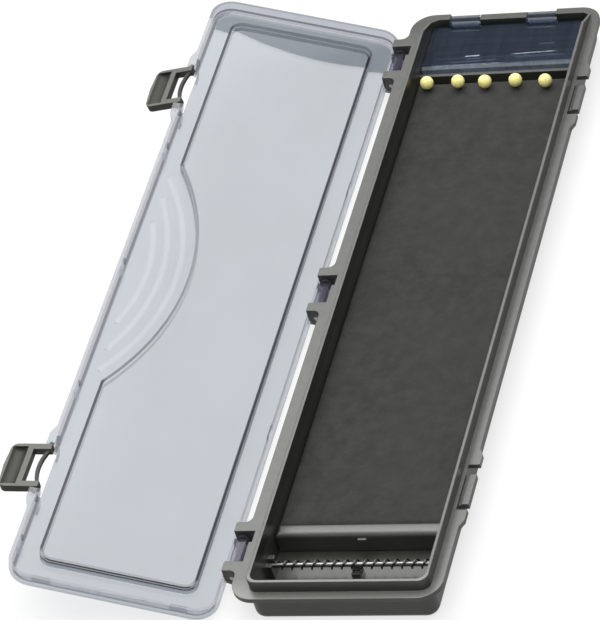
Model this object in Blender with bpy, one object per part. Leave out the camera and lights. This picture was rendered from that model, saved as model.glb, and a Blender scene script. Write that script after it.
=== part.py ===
"""Fishing rig box: a long shallow tray with a foam board, a hook bay with a
spring, a covered hook compartment, and a clear lid that two latches hold shut.

Metres, +Z up. The origin is the centre of the tray's underside, +X points
to the latch side, -X to the hinge side and +Y to the hook compartment.
"""

import math

import bmesh
import bpy
from mathutils import Matrix, Vector

# Shared
GAP = 0.0003
OVERRUN = 0.004
LAP = 0.0008
SMALL_EDGE = 0.0003
GRID = 0.0000001

# Tray: flange, walls and floor
TRAY_LENGTH = 0.350
TRAY_WIDTH = 0.085
TRAY_HEIGHT = 0.015
FLANGE_THICK = 0.002
FLANGE_CORNER = 0.0095
FLANGE_REACH_RIGHT = 0.0041
FLANGE_REACH_LEFT = 0.0065
FLANGE_REACH_NEAR = 0.0035
FLANGE_REACH_FAR = 0.0020
WALL_RIGHT = 0.0014
WALL_LEFT = 0.0024
WALL_NEAR = 0.0015
WALL_FAR = 0.0015
FLOOR = 0.002
BODY_CORNER = 0.005
BODY_FILLET = 0.003
CAVITY_CORNER = 0.0036
CAVITY_FILLET = 0.0008

# Tray: the raised collar inside the flange
COLLAR_RISE = 0.0054
COLLAR_STEP_LEFT = 0.0010
COLLAR_STEP_RIGHT = 0.0002
COLLAR_RAMP_RUN = 0.013

# Hinge: lugs on the tray, knuckles on the lid, one pin at each station
HINGE_END_INSET = 0.0285
HINGE_OUT = 0.0031
HINGE_DROP = 0.0049
HINGE_RADIUS = 0.0030
LUG_WIDTH = 0.0048
LUG_SPACING = 0.0164
LUG_ROOT_DROP = 0.0076
LUG_FILLET = 0.0030
POCKET_DEPTH = 0.0015
NOOK_DEPTH = 0.0012
NOOK_LENGTH = 0.006
HINGE_PIN_RADIUS = 0.0010
HINGE_PIN_CLEARANCE = 0.0002
KNUCKLE_SIDE_GAP = 0.0003
KNUCKLE_HOLLOW_WIDTH = 0.0040
KNUCKLE_HOLLOW_DEPTH = 0.0011
KNUCKLE_HOLLOW_RIM = 0.0010

# Catches on the tray's right side
LATCH_END_INSET = 0.0587
BULGE_REACH = 0.0017
BULGE_LENGTH = 0.0465
BULGE_TAPER = 0.0055
CATCH_RECESS_LENGTH = 0.0245
CATCH_RECESS_REACH = 0.0030
KEEPER_LENGTH = 0.0163
KEEPER_REACH = 0.0010
KEEPER_TOP_DROP = 0.0011
KEEPER_GROOVE_WIDTH = 0.0011
KEEPER_GROOVE_DEPTH = 0.0006

# Hook compartment at the far end
HOOK_COMPARTMENT_LENGTH = 0.0330
DIVIDER_THICK = 0.0016
DIVIDER_TOP_DROP = 0.0045
PARTITION_X = -0.0027
PARTITION_THICK = 0.0014
PARTITION_TOP_DROP = 0.0062

# Clear flap over the hook compartment
FLAP_TOP_DROP = 0.0027
FLAP_THICK = 0.0016
FLAP_FRONT_SETBACK = 0.0035
FLAP_LIP_HEIGHT = 0.0034
FLAP_LIP_THICK = 0.0014
FLAP_LIP_BEVEL = 0.0011
FLAP_BACK_CLEARANCE = 0.0009
FLAP_CORNER = 0.0030
TAB_WIDTH = 0.0128
TAB_LEFT_X = -0.0193
TAB_RIGHT_X = 0.0151
TAB_AXIS_INSET = 0.0018
TAB_AXIS_DROP = 0.0018
TAB_KNUCKLE_RADIUS = 0.0017
TAB_BAR_RADIUS = 0.0007
TAB_SLOT_WIDTH = 0.0011
TAB_NOTCH_DEPTH = 0.0058
FAR_BAND_DROP = 0.0010

# Foam board and its pins
FOAM_THICK = 0.0077
FOAM_NEAR_GAP = 0.0008
FOAM_FAR_GAP = 0.0039
FOAM_EDGE = 0.0006
FOAM_CORNER = 0.0016
PIN_BALL_RADIUS = 0.0030
PIN_NEEDLE_RADIUS = 0.00035
PIN_TIP_COVER = 0.0015
PIN_NEEDLE_IN_BALL = 0.0024
PIN_BORE_RADIUS = 0.00065
PIN_ROW_INSET = 0.0036
PIN_ROW_X_SHARE = (-0.422, -0.225, -0.052, 0.140, 0.331)
PIN_ROW_Y_SHARE = (0.0, 0.0, -0.013, -0.012, -0.030)

# Cross rail between the foam board and the hook bay
HOOK_BAY_LENGTH = 0.0327
RAIL_WIDTH = 0.0065
RAIL_RISE = 0.0014
RAIL_ROUND = 0.0022
NUB_LENGTH = 0.0036
NUB_REACH = 0.0010
NUB_HEIGHT = 0.0016
NUB_X = 0.0021

# Hook bay: rod, spring and their posts
ROD_FROM_NEAR_WALL = 0.0207
ROD_HEIGHT = 0.0050
ROD_RADIUS = 0.0010
ROD_CLEARANCE = 0.0003
POST_DEPTH = 0.0022
POST_WIDTH = 0.0066
POST_RISE = 0.0023
FOOT_LENGTH = 0.0034
FOOT_NEAR_REACH = 0.0029
FOOT_FAR_REACH = 0.0020
FOOT_NECK_LENGTH = 0.0022
FOOT_NECK_WIDTH = 0.0028
SPRING_TURNS = 16
SPRING_RADIUS = 0.00175
SPRING_WIRE_RADIUS = 0.00036
SPRING_POINTS_A_TURN = 9

# Lid, in its closed place
LID_OPEN_DEG = 162.43
LID_SIDE_INSET = 0.0010
LID_END_INSET = 0.0004
LID_HEIGHT = 0.0068
LID_SEAT_GAP = 0.0003
LID_WALL = 0.0013
LID_TOP = 0.0013
LID_CORNER = 0.0095
LID_EDGE = 0.0024
PANEL_MARGIN_HINGE = 0.0120
PANEL_MARGIN_LATCH = 0.0110
PANEL_MARGIN_NEAR = 0.0150
PANEL_MARGIN_FAR = 0.0103
PANEL_SINK = 0.0021
PANEL_CORNER = 0.0042
CRESCENT_Y = 0.0040
CRESCENT_DEPTH = 0.0195
CRESCENT_HALF_CHORD = 0.0665
RIDGE_HEIGHT = 0.0005
RIDGE_WIDTH = 0.0022
RIDGE_CREST = 0.0012
RIDGE_APEX = (0.0118, 0.0176, 0.0242)
RIDGE_RADIUS = (0.093, 0.104, 0.107)
RIDGE_END = 0.0066
RIM_PAD_LENGTH = 0.0070
RIM_PAD_THICK = 0.0009
RIM_PAD_DROP = 0.0010
RIM_PAD_LATCH_Y_SHARE = (0.434, 0.017, -0.400, -0.897)
RIM_PAD_HINGE_Y_SHARE = (0.423, -0.417)
RIM_PAD_NEAR_X_SHARE = (0.652, -0.655)

# Lid ears and the latches that pivot in them
EAR_REACH = 0.0018
EAR_HEIGHT = 0.0034
EAR_NOTCH_LENGTH = 0.0250
EAR_NOTCH_DEPTH = 0.0027
LATCH_PIVOT_INSET = 0.0002
LATCH_PIVOT_RISE = 0.0018
LATCH_WIDTH = 0.0237
LATCH_REACH = 0.0164
LATCH_INNER = 0.0015
LATCH_OUTER = 0.0017
LATCH_HEEL = 0.0012
LATCH_TIP_RADIUS = 0.0030
LATCH_TIP_BOW = 0.0006
LATCH_WINDOW_LENGTH = 0.0178
LATCH_GRIP_START = 0.0061
LATCH_BOW_WIDTH = 0.0014
LATCH_BOW_THICK = 0.0014
LATCH_BOW_SAG = 0.0019
LATCH_BOW_END = 0.0006
LATCH_LAND = 0.0024
LATCH_SCOOP_DEPTH = 0.0017
LATCH_SCOOP_MARGIN = 0.0015
LATCH_SCOOP_TIP = 0.0008
LATCH_STUB_RADIUS = 0.00075
LATCH_STUB_LENGTH = 0.0018
LATCH_STUB_CLEARANCE = 0.0003
LATCH_OPEN_DEG = {"latch_far": 115.6, "latch_near": 105.2}

# Facets
CORNER_STEPS = 8
EDGE_STEPS = 4
ROUND_STEPS = 20
SMALL_ROUND_STEPS = 12
CURVE_STEPS = 14

# Places worked out from the sizes
FLANGE_RIGHT = TRAY_WIDTH / 2
FLANGE_LEFT = -TRAY_WIDTH / 2
FLANGE_FAR = TRAY_LENGTH / 2
FLANGE_NEAR = -TRAY_LENGTH / 2
BODY_RIGHT = FLANGE_RIGHT - FLANGE_REACH_RIGHT
BODY_LEFT = FLANGE_LEFT + FLANGE_REACH_LEFT
BODY_FAR = FLANGE_FAR - FLANGE_REACH_FAR
BODY_NEAR = FLANGE_NEAR + FLANGE_REACH_NEAR
CAVITY_RIGHT = BODY_RIGHT - WALL_RIGHT
CAVITY_LEFT = BODY_LEFT + WALL_LEFT
CAVITY_FAR = BODY_FAR - WALL_FAR
CAVITY_NEAR = BODY_NEAR + WALL_NEAR
COLLAR_TOP = TRAY_HEIGHT + COLLAR_RISE
HINGE_X = FLANGE_LEFT - HINGE_OUT
HINGE_Z = TRAY_HEIGHT - HINGE_DROP
HINGE_STATIONS = (FLANGE_FAR - HINGE_END_INSET, 0.0, FLANGE_NEAR + HINGE_END_INSET)
LATCH_STATIONS = {"latch_far": FLANGE_FAR - LATCH_END_INSET, "latch_near": FLANGE_NEAR + LATCH_END_INSET}
FOAM_TOP = FLOOR + GAP + FOAM_THICK
DIVIDER_Y = CAVITY_FAR - HOOK_COMPARTMENT_LENGTH
FLAP_FRONT_Y = DIVIDER_Y + FLAP_FRONT_SETBACK
RAIL_NEAR_Y = CAVITY_NEAR + HOOK_BAY_LENGTH
RAIL_FAR_Y = RAIL_NEAR_Y + RAIL_WIDTH
RAIL_TOP = FOAM_TOP + RAIL_RISE
FOAM_NEAR_Y = RAIL_FAR_Y + FOAM_NEAR_GAP
FOAM_FAR_Y = DIVIDER_Y - FOAM_FAR_GAP
PIN_ROW_Y = FOAM_FAR_Y - PIN_ROW_INSET
PIN_NEEDLE_IN_FOAM = FOAM_THICK - PIN_TIP_COVER
ROD_Y = CAVITY_NEAR + ROD_FROM_NEAR_WALL
CAVITY_MID_X = (CAVITY_LEFT + CAVITY_RIGHT) / 2
CAVITY_WIDTH = CAVITY_RIGHT - CAVITY_LEFT
TAB_AXIS_Y = FLANGE_FAR - TAB_AXIS_INSET
TAB_AXIS_Z = TRAY_HEIGHT - TAB_AXIS_DROP
ROD_Z = FLOOR + ROD_HEIGHT
LID_BOTTOM = TRAY_HEIGHT + LID_SEAT_GAP
LID_LEFT = FLANGE_LEFT
LID_RIGHT = FLANGE_RIGHT - LID_SIDE_INSET
LID_LENGTH = TRAY_LENGTH - 2 * LID_END_INSET
PIVOT_X = LID_RIGHT - LATCH_PIVOT_INSET
PIVOT_Z = TRAY_HEIGHT + LATCH_PIVOT_RISE


def clear_scene():
    for item in list(bpy.data.objects):
        bpy.data.objects.remove(item, do_unlink=True)


def new_collection(name):
    made = bpy.data.collections.new(name)
    bpy.context.scene.collection.children.link(made)
    return made


def plastic(name, colour, roughness, metallic=0.0, alpha=1.0):
    """A Principled material of one colour."""
    made = bpy.data.materials.new(name)
    made.use_nodes = True
    shader = made.node_tree.nodes["Principled BSDF"]
    shader.inputs["Base Color"].default_value = (*colour, 1.0)
    shader.inputs["Roughness"].default_value = roughness
    shader.inputs["Metallic"].default_value = metallic
    shader.inputs["Alpha"].default_value = alpha
    made.diffuse_color = (*colour, alpha)
    return made


def snap(work):
    """Puts every vertex on a fine grid, so that shared planes meet exactly."""
    for vertex in work.verts:
        vertex.co = Vector([round(value / GRID) * GRID for value in vertex.co])


def link_mesh(name, work, material):
    """A node object from a bmesh."""
    snap(work)
    mesh = bpy.data.meshes.new(name)
    work.to_mesh(mesh)
    work.free()
    made = bpy.data.objects.new(name, mesh)
    PARTS.objects.link(made)
    if material:
        mesh.materials.append(material)
    return made


def slab(name, x_span, y_span, z_span, corner=0.0, edge=0.0, edge_at="", material=None, far_only=False):
    """A block with upright corners rounded, and its top or bottom rim too."""
    work = bmesh.new()
    bmesh.ops.create_cube(work, size=1.0)
    size = Vector((x_span[1] - x_span[0], y_span[1] - y_span[0], z_span[1] - z_span[0]))
    bmesh.ops.scale(work, vec=size, verts=work.verts)
    middle = Vector((sum(x_span) / 2, sum(y_span) / 2, sum(z_span) / 2))
    bmesh.ops.translate(work, vec=middle, verts=work.verts)
    if corner:
        upright = [e for e in work.edges if abs(e.verts[0].co.z - e.verts[1].co.z) > size.z / 2]
        if far_only:
            upright = [e for e in upright if e.verts[0].co.y > middle.y]
        bmesh.ops.bevel(work, geom=upright, offset=corner, segments=CORNER_STEPS, profile=0.5, affect="EDGES")
    for side, height in (("bottom", z_span[0]), ("top", z_span[1])):
        if edge and side in edge_at:
            rim = [e for e in work.edges if all(abs(v.co.z - height) < size.z / 100 for v in e.verts)]
            bmesh.ops.bevel(work, geom=rim, offset=edge, segments=EDGE_STEPS, profile=0.5, affect="EDGES")
    return link_mesh(name, work, material)


def rod(name, radius, span, centre, axis, steps=ROUND_STEPS, material=None):
    """A cylinder along X, Y or Z; centre gives its other two coordinates in order."""
    work = bmesh.new()
    length = span[1] - span[0]
    bmesh.ops.create_cone(work, cap_ends=True, segments=steps, radius1=radius, radius2=radius, depth=length)
    middle = (span[0] + span[1]) / 2
    if axis == "X":
        turn = Matrix.Rotation(math.pi / 2, 4, "Y")
        place = Vector((middle, centre[0], centre[1]))
    elif axis == "Y":
        turn = Matrix.Rotation(math.pi / 2, 4, "X")
        place = Vector((centre[0], middle, centre[1]))
    else:
        turn = Matrix.Identity(4)
        place = Vector((centre[0], centre[1], middle))
    bmesh.ops.transform(work, matrix=Matrix.Translation(place) @ turn, verts=work.verts)
    return link_mesh(name, work, material)


def mesh_from_curve(shape, material=None):
    """The curve object as a mesh object with welded caps, in the same place."""
    graph = bpy.context.evaluated_depsgraph_get()
    mesh = bpy.data.meshes.new_from_object(shape.evaluated_get(graph))
    work = bmesh.new()
    work.from_mesh(mesh)
    bmesh.ops.remove_doubles(work, verts=work.verts, dist=GAP / 100)
    bmesh.ops.recalc_face_normals(work, faces=work.faces)
    work.to_mesh(mesh)
    work.free()
    name = shape.name
    shape.name = name + "_curve"
    made = bpy.data.objects.new(name, mesh)
    PARTS.objects.link(made)
    made.matrix_world = shape.matrix_world.copy()
    bpy.data.objects.remove(shape, do_unlink=True)
    mesh.materials.clear()
    if material:
        mesh.materials.append(material)
    return made


def outline_solid(name, outlines, span, plane="XY", material=None):
    """Closed outlines extruded across their plane; the inner ones are holes."""
    data = bpy.data.curves.new(name, "CURVE")
    data.dimensions = "2D"
    data.fill_mode = "BOTH"
    data.extrude = (span[1] - span[0]) / 2
    for points in outlines:
        spline = data.splines.new("POLY")
        spline.points.add(len(points) - 1)
        for point, place in zip(spline.points, points):
            point.co = (place[0], place[1], 0.0, 1.0)
        spline.use_cyclic_u = True
    shape = bpy.data.objects.new(name, data)
    PARTS.objects.link(shape)
    middle = (span[0] + span[1]) / 2
    if plane == "YZ":
        turn = Matrix(((0, 0, 1, 0), (1, 0, 0, 0), (0, 1, 0, 0), (0, 0, 0, 1)))
        shape.matrix_world = Matrix.Translation((middle, 0, 0)) @ turn
    elif plane == "XZ":
        shape.matrix_world = Matrix.Translation((0, middle, 0)) @ Matrix.Rotation(math.pi / 2, 4, "X")
    else:
        shape.matrix_world = Matrix.Translation((0, 0, middle))
    bpy.context.view_layer.update()
    made = mesh_from_curve(shape, material)
    work = bmesh.new()
    work.from_mesh(made.data)
    bmesh.ops.transform(work, matrix=made.matrix_world, verts=work.verts)
    snap(work)
    work.to_mesh(made.data)
    work.free()
    made.matrix_world = Matrix.Identity(4)
    return made


def arc(centre, radius, start, end, steps):
    """Points on a circle from one angle to the other, in radians."""
    angles = [start + (end - start) * i / steps for i in range(steps + 1)]
    return [(centre[0] + radius * math.cos(a), centre[1] + radius * math.sin(a)) for a in angles]


def boolean(target, tool, operation):
    """A live Boolean; its tool is kept as a wire-frame helper."""
    step = target.modifiers.new(tool.name, "BOOLEAN")
    step.operation = operation
    step.solver = "EXACT"
    step.object = tool
    tool.hide_render = True
    tool.display_type = "WIRE"
    for home in list(tool.users_collection):
        home.objects.unlink(tool)
    CUTTERS.objects.link(tool)


def join(target, *tools):
    for tool in tools:
        boolean(target, tool, "UNION")


def cut(target, *tools):
    for tool in tools:
        boolean(target, tool, "DIFFERENCE")


def pivot(name, place, turn_deg=0.0, parent=None):
    """An empty on a joint's axis, turned about Y."""
    made = bpy.data.objects.new(name, None)
    made.empty_display_size = HINGE_RADIUS
    PARTS.objects.link(made)
    made.location = place
    made.rotation_euler = (0.0, math.radians(turn_deg), 0.0)
    made.parent = parent
    return made


def carry(item, frame, origin):
    """Hangs a piece and the helpers that shape it on a pivot placed at origin."""
    for each in [item] + [m.object for m in item.modifiers if m.type == "BOOLEAN"]:
        each.data.transform(Matrix.Translation(-Vector(origin)))
        each.parent = frame


def smooth(item, angle_deg=35.0):
    item.data.shade_smooth()
    item.data.set_sharp_from_angle(angle=math.radians(angle_deg))


def lug(name, low_y, high_y):
    """One hinge lug: flat on top, round below about the hinge axis."""
    body_side = BODY_LEFT + WALL_LEFT / 2
    profile = arc((HINGE_X, HINGE_Z), HINGE_RADIUS, math.pi, math.pi * 1.5, CORNER_STEPS)
    root = TRAY_HEIGHT - LUG_ROOT_DROP
    outline = [(HINGE_X - HINGE_RADIUS, TRAY_HEIGHT)] + profile
    outline += [(FLANGE_LEFT, HINGE_Z - HINGE_RADIUS), (body_side, root), (body_side, TRAY_HEIGHT)]
    return outline_solid(name, [outline], (low_y, high_y), "XZ")


def lug_fillet(name, y, side):
    """A concave corner in plan between a lug's outer face and the flange's edge."""
    reach = LUG_FILLET
    outline = [(FLANGE_LEFT + LAP, y + side * reach), (FLANGE_LEFT + LAP, y - side * LAP)]
    outline += [(FLANGE_LEFT - reach, y - side * LAP)]
    start = -side * math.pi / 2
    outline += arc((FLANGE_LEFT - reach, y + side * reach), reach, start, 0.0, CORNER_STEPS)
    return outline_solid(name, [outline], (TRAY_HEIGHT - FLANGE_THICK, TRAY_HEIGHT))


def make_tray(material):
    tray = slab(
        "tray",
        (BODY_LEFT, BODY_RIGHT),
        (BODY_NEAR, BODY_FAR),
        (0.0, TRAY_HEIGHT - FLANGE_THICK / 2),
        BODY_CORNER,
        BODY_FILLET,
        "bottom",
        material,
    )
    flange = slab(
        "flange",
        (FLANGE_LEFT, FLANGE_RIGHT),
        (FLANGE_NEAR, FLANGE_FAR),
        (TRAY_HEIGHT - FLANGE_THICK, TRAY_HEIGHT),
        FLANGE_CORNER,
    )
    collar = slab(
        "collar",
        (BODY_LEFT + COLLAR_STEP_LEFT, BODY_RIGHT - COLLAR_STEP_RIGHT),
        (BODY_NEAR + COLLAR_STEP_RIGHT, BODY_FAR - COLLAR_STEP_RIGHT),
        (TRAY_HEIGHT - FLANGE_THICK / 2, COLLAR_TOP),
        BODY_CORNER - COLLAR_STEP_LEFT,
        SMALL_EDGE,
        "top",
    )
    ramp_angle = math.atan2(COLLAR_RISE, COLLAR_RAMP_RUN)
    ramp = slab(
        "collar_ramp",
        (FLANGE_LEFT, FLANGE_RIGHT),
        (-COLLAR_RAMP_RUN, COLLAR_RAMP_RUN * 2),
        (0.0, COLLAR_RISE * 2),
    )
    tilt = Matrix.Rotation(-ramp_angle, 4, "X")
    ramp.data.transform(Matrix.Translation((0, CAVITY_FAR - LAP, TRAY_HEIGHT)) @ tilt)
    cut(collar, ramp)
    join(tray, flange, collar)

    for number, y in enumerate(HINGE_STATIONS):
        pocket = slab(
            f"hinge_pocket_{number}",
            (FLANGE_LEFT - OVERRUN, FLANGE_LEFT + POCKET_DEPTH),
            (y - LUG_SPACING / 2 - LAP, y + LUG_SPACING / 2 + LAP),
            (TRAY_HEIGHT - FLANGE_THICK - LAP, TRAY_HEIGHT + OVERRUN),
        )
        nook = slab(
            f"hinge_nook_{number}",
            (FLANGE_LEFT - LAP, FLANGE_LEFT + POCKET_DEPTH + NOOK_DEPTH),
            (y + LUG_SPACING / 2 - NOOK_LENGTH, y + LUG_SPACING / 2 + 2 * LAP),
            (TRAY_HEIGHT - FLANGE_THICK - LAP, TRAY_HEIGHT + OVERRUN),
        )
        cut(tray, pocket, nook)
        for side in (-1, 1):
            inner = y + side * LUG_SPACING / 2
            outer = inner + side * LUG_WIDTH
            join(tray, lug(f"lug_{number}_{side + 1}", min(inner, outer), max(inner, outer)))
            join(tray, lug_fillet(f"lug_fillet_{number}_{side + 1}", outer, side))
        bore = rod(
            f"hinge_bore_{number}",
            HINGE_PIN_RADIUS + HINGE_PIN_CLEARANCE,
            (y - LUG_SPACING / 2 - LUG_WIDTH - OVERRUN, y + LUG_SPACING / 2 + LUG_WIDTH + OVERRUN),
            (HINGE_X, HINGE_Z),
            "Y",
            SMALL_ROUND_STEPS,
        )
        cut(tray, bore)

    for name, y in LATCH_STATIONS.items():
        add_catch(tray, name, y)

    cavity = slab(
        "cavity",
        (CAVITY_LEFT, CAVITY_RIGHT),
        (CAVITY_NEAR, CAVITY_FAR),
        (FLOOR, COLLAR_TOP + OVERRUN),
        CAVITY_CORNER,
        CAVITY_FILLET,
        "bottom",
    )
    cut(tray, cavity)
    add_hook_compartment(tray)
    add_hook_bay(tray)
    return tray


def add_catch(tray, name, y):
    """A bulge in the flange with a recess, and the keeper that the latch hooks under."""
    half = BULGE_LENGTH / 2
    reach = FLANGE_RIGHT + BULGE_REACH
    inside = BODY_RIGHT - WALL_RIGHT / 2
    outline = [(inside, y - half), (FLANGE_RIGHT - LAP, y - half), (reach, y - half + BULGE_TAPER)]
    outline += [(reach, y + half - BULGE_TAPER), (FLANGE_RIGHT - LAP, y + half), (inside, y + half)]
    bulge = outline_solid(name + "_bulge", [outline], (TRAY_HEIGHT - FLANGE_THICK, TRAY_HEIGHT))
    join(tray, bulge)
    recess_from = FLANGE_RIGHT - CATCH_RECESS_REACH
    recess = slab(
        name + "_recess",
        (recess_from, reach + OVERRUN),
        (y - CATCH_RECESS_LENGTH / 2, y + CATCH_RECESS_LENGTH / 2),
        (TRAY_HEIGHT - FLANGE_THICK - LAP, TRAY_HEIGHT + OVERRUN),
    )
    cut(tray, recess)
    keeper_bottom = PIVOT_Z - LATCH_GRIP_START + GAP + GAP
    keeper_top = TRAY_HEIGHT - KEEPER_TOP_DROP
    ends = (y - KEEPER_LENGTH / 2, y + KEEPER_LENGTH / 2)
    keeper = slab(
        name + "_keeper",
        (inside, FLANGE_RIGHT + KEEPER_REACH),
        ends,
        (keeper_bottom, keeper_top - KEEPER_GROOVE_DEPTH),
    )
    ridge = slab(
        name + "_ridge",
        (recess_from + KEEPER_GROOVE_WIDTH, FLANGE_RIGHT + KEEPER_REACH),
        ends,
        (keeper_bottom + LAP, keeper_top),
    )
    join(tray, keeper, ridge)


def add_hook_compartment(tray):
    divider = slab(
        "divider",
        (CAVITY_LEFT - WALL_LEFT / 2, CAVITY_RIGHT + WALL_RIGHT / 2),
        (DIVIDER_Y, DIVIDER_Y + DIVIDER_THICK),
        (FLOOR / 2, TRAY_HEIGHT - DIVIDER_TOP_DROP),
    )
    partition = slab(
        "partition",
        (PARTITION_X - PARTITION_THICK / 2, PARTITION_X + PARTITION_THICK / 2),
        (DIVIDER_Y + DIVIDER_THICK / 2, CAVITY_FAR + WALL_FAR / 2),
        (FLOOR / 2, TRAY_HEIGHT - PARTITION_TOP_DROP),
    )
    join(tray, divider, partition)
    for name, x in (("left", TAB_LEFT_X), ("right", TAB_RIGHT_X)):
        half = TAB_WIDTH / 2 + GAP
        notch = slab(
            f"tab_notch_{name}",
            (x - half, x + half),
            (CAVITY_FAR - LAP, FLANGE_FAR + OVERRUN),
            (TRAY_HEIGHT - TAB_NOTCH_DEPTH, TRAY_HEIGHT + OVERRUN),
        )
        bar = rod(
            f"tab_bar_{name}",
            TAB_BAR_RADIUS,
            (x - half - LAP, x + half + LAP),
            (TAB_AXIS_Y, TAB_AXIS_Z),
            "X",
            SMALL_ROUND_STEPS,
        )
        cut(tray, notch)
        join(tray, bar)
    low = slab(
        "far_band_low",
        (TAB_LEFT_X + TAB_WIDTH / 2, TAB_RIGHT_X - TAB_WIDTH / 2),
        (CAVITY_FAR - LAP, FLANGE_FAR + OVERRUN),
        (TRAY_HEIGHT - FAR_BAND_DROP, TRAY_HEIGHT + OVERRUN),
    )
    cut(tray, low)


def add_hook_bay(tray):
    """A forked post at each end of the rod, and a foot that holds it up in the middle."""
    seat_radius = ROD_RADIUS + ROD_CLEARANCE
    top = ROD_Z + POST_RISE
    for name, wall, inner in (
        ("left", CAVITY_LEFT - WALL_LEFT / 2, CAVITY_LEFT + POST_DEPTH),
        ("right", CAVITY_RIGHT + WALL_RIGHT / 2, CAVITY_RIGHT - POST_DEPTH),
    ):
        span = (min(wall, inner), max(wall, inner))
        post = slab(
            f"rod_post_{name}",
            span,
            (ROD_Y - POST_WIDTH / 2, ROD_Y + POST_WIDTH / 2),
            (FLOOR / 2, top),
        )
        join(tray, post)
    seat = rod(
        "rod_seat",
        seat_radius,
        (CAVITY_LEFT, CAVITY_RIGHT),
        (ROD_Y, ROD_Z),
        "X",
        SMALL_ROUND_STEPS,
    )
    fork = slab(
        "rod_fork",
        (CAVITY_LEFT, CAVITY_RIGHT),
        (ROD_Y - seat_radius, ROD_Y + seat_radius),
        (ROD_Z, top + OVERRUN),
    )
    foot_top = ROD_Z - SPRING_RADIUS - SPRING_WIRE_RADIUS - GAP
    foot = slab(
        "spring_foot",
        (CAVITY_MID_X - FOOT_LENGTH / 2, CAVITY_MID_X + FOOT_LENGTH / 2),
        (ROD_Y - FOOT_NEAR_REACH, ROD_Y + FOOT_FAR_REACH),
        (FLOOR / 2, foot_top),
    )
    neck = slab(
        "foot_neck",
        (CAVITY_MID_X - FOOT_NECK_LENGTH / 2, CAVITY_MID_X + FOOT_NECK_LENGTH / 2),
        (ROD_Y - FOOT_NECK_WIDTH / 2, ROD_Y + FOOT_NECK_WIDTH / 2),
        (foot_top - LAP, ROD_Z - ROD_RADIUS - GAP),
    )
    cut(tray, seat, fork)
    join(tray, foot, neck)


def make_foam(material):
    foam = slab(
        "foam_board",
        (CAVITY_LEFT + GAP, CAVITY_RIGHT - GAP),
        (FOAM_NEAR_Y, FOAM_FAR_Y),
        (FLOOR + GAP, FOAM_TOP),
        FOAM_CORNER,
        FOAM_EDGE,
        "top",
        material,
    )
    for number, (x, y) in enumerate(pin_places()):
        hole = rod(
            f"pin_hole_{number}",
            PIN_BORE_RADIUS,
            (FOAM_TOP - PIN_NEEDLE_IN_FOAM - GAP, FOAM_TOP + OVERRUN),
            (x, y),
            "Z",
            SMALL_ROUND_STEPS,
        )
        cut(foam, hole)
    return foam


def pin_places():
    """The pins' centres: a row along the foam board's far end."""
    places = []
    for across, along in zip(PIN_ROW_X_SHARE, PIN_ROW_Y_SHARE):
        x = CAVITY_MID_X + across * CAVITY_WIDTH
        y = PIN_ROW_Y + along * CAVITY_WIDTH
        places.append((x, y))
    return places


def make_pins(ball_material, needle_material):
    """Five ball-headed pins that stand in the foam, each at its own origin."""
    ball_z = GAP + PIN_BALL_RADIUS
    needle_top = GAP + PIN_NEEDLE_IN_BALL
    for number, (x, y) in enumerate(pin_places(), start=1):
        work = bmesh.new()
        bmesh.ops.create_uvsphere(work, u_segments=16, v_segments=10, radius=PIN_BALL_RADIUS)
        bmesh.ops.translate(work, vec=Vector((0, 0, ball_z)), verts=work.verts)
        ball = link_mesh(f"pin_head_{number}", work, ball_material)
        hole = rod(
            f"pin_head_bore_{number}",
            PIN_BORE_RADIUS,
            (-OVERRUN, needle_top + GAP),
            (0, 0),
            "Z",
            SMALL_ROUND_STEPS,
        )
        cut(ball, hole)
        smooth(ball)
        needle = rod(
            f"pin_needle_{number}",
            PIN_NEEDLE_RADIUS,
            (-PIN_NEEDLE_IN_FOAM, needle_top),
            (0, 0),
            "Z",
            SMALL_ROUND_STEPS,
            needle_material,
        )
        for item in (ball, hole, needle):
            item.location = (x, y, FOAM_TOP)
        smooth(needle)


def make_rail(material):
    rail = slab(
        "cross_rail",
        (CAVITY_LEFT + GAP, CAVITY_RIGHT - GAP),
        (RAIL_NEAR_Y, RAIL_FAR_Y),
        (FLOOR + GAP, RAIL_TOP),
        0.0,
        RAIL_ROUND,
        "top",
        material,
    )
    top = RAIL_TOP - RAIL_ROUND
    nub = slab(
        "rail_nub",
        (NUB_X - NUB_LENGTH / 2, NUB_X + NUB_LENGTH / 2),
        (RAIL_NEAR_Y - NUB_REACH, RAIL_NEAR_Y + LAP),
        (top - NUB_HEIGHT, top),
    )
    join(rail, nub)
    return rail


def make_rod(material):
    """The steel rod that carries the spring between the two posts."""
    span = (CAVITY_LEFT + GAP, CAVITY_RIGHT - GAP)
    made = rod("spring_rod", ROD_RADIUS, span, (ROD_Y, ROD_Z), "X", SMALL_ROUND_STEPS, material)
    smooth(made)
    return made


def spring_points():
    """One helix about the rod, with a short straight run at each end."""
    straight = 2 * SPRING_WIRE_RADIUS
    first = CAVITY_LEFT + POST_DEPTH + GAP
    last = CAVITY_RIGHT - POST_DEPTH - GAP
    start = first + straight
    length = last - first - 2 * straight
    count = SPRING_TURNS * SPRING_POINTS_A_TURN
    points = []
    for i in range(count + 1):
        angle = 2 * math.pi * i / SPRING_POINTS_A_TURN
        x = start + length * i / count
        y = ROD_Y + SPRING_RADIUS * math.sin(angle)
        points.append(Vector((x, y, ROD_Z + SPRING_RADIUS * math.cos(angle))))
    head = Vector((first, points[0].y, points[0].z))
    tail = Vector((last, points[-1].y, points[-1].z))
    return [head] + points + [tail]


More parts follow.
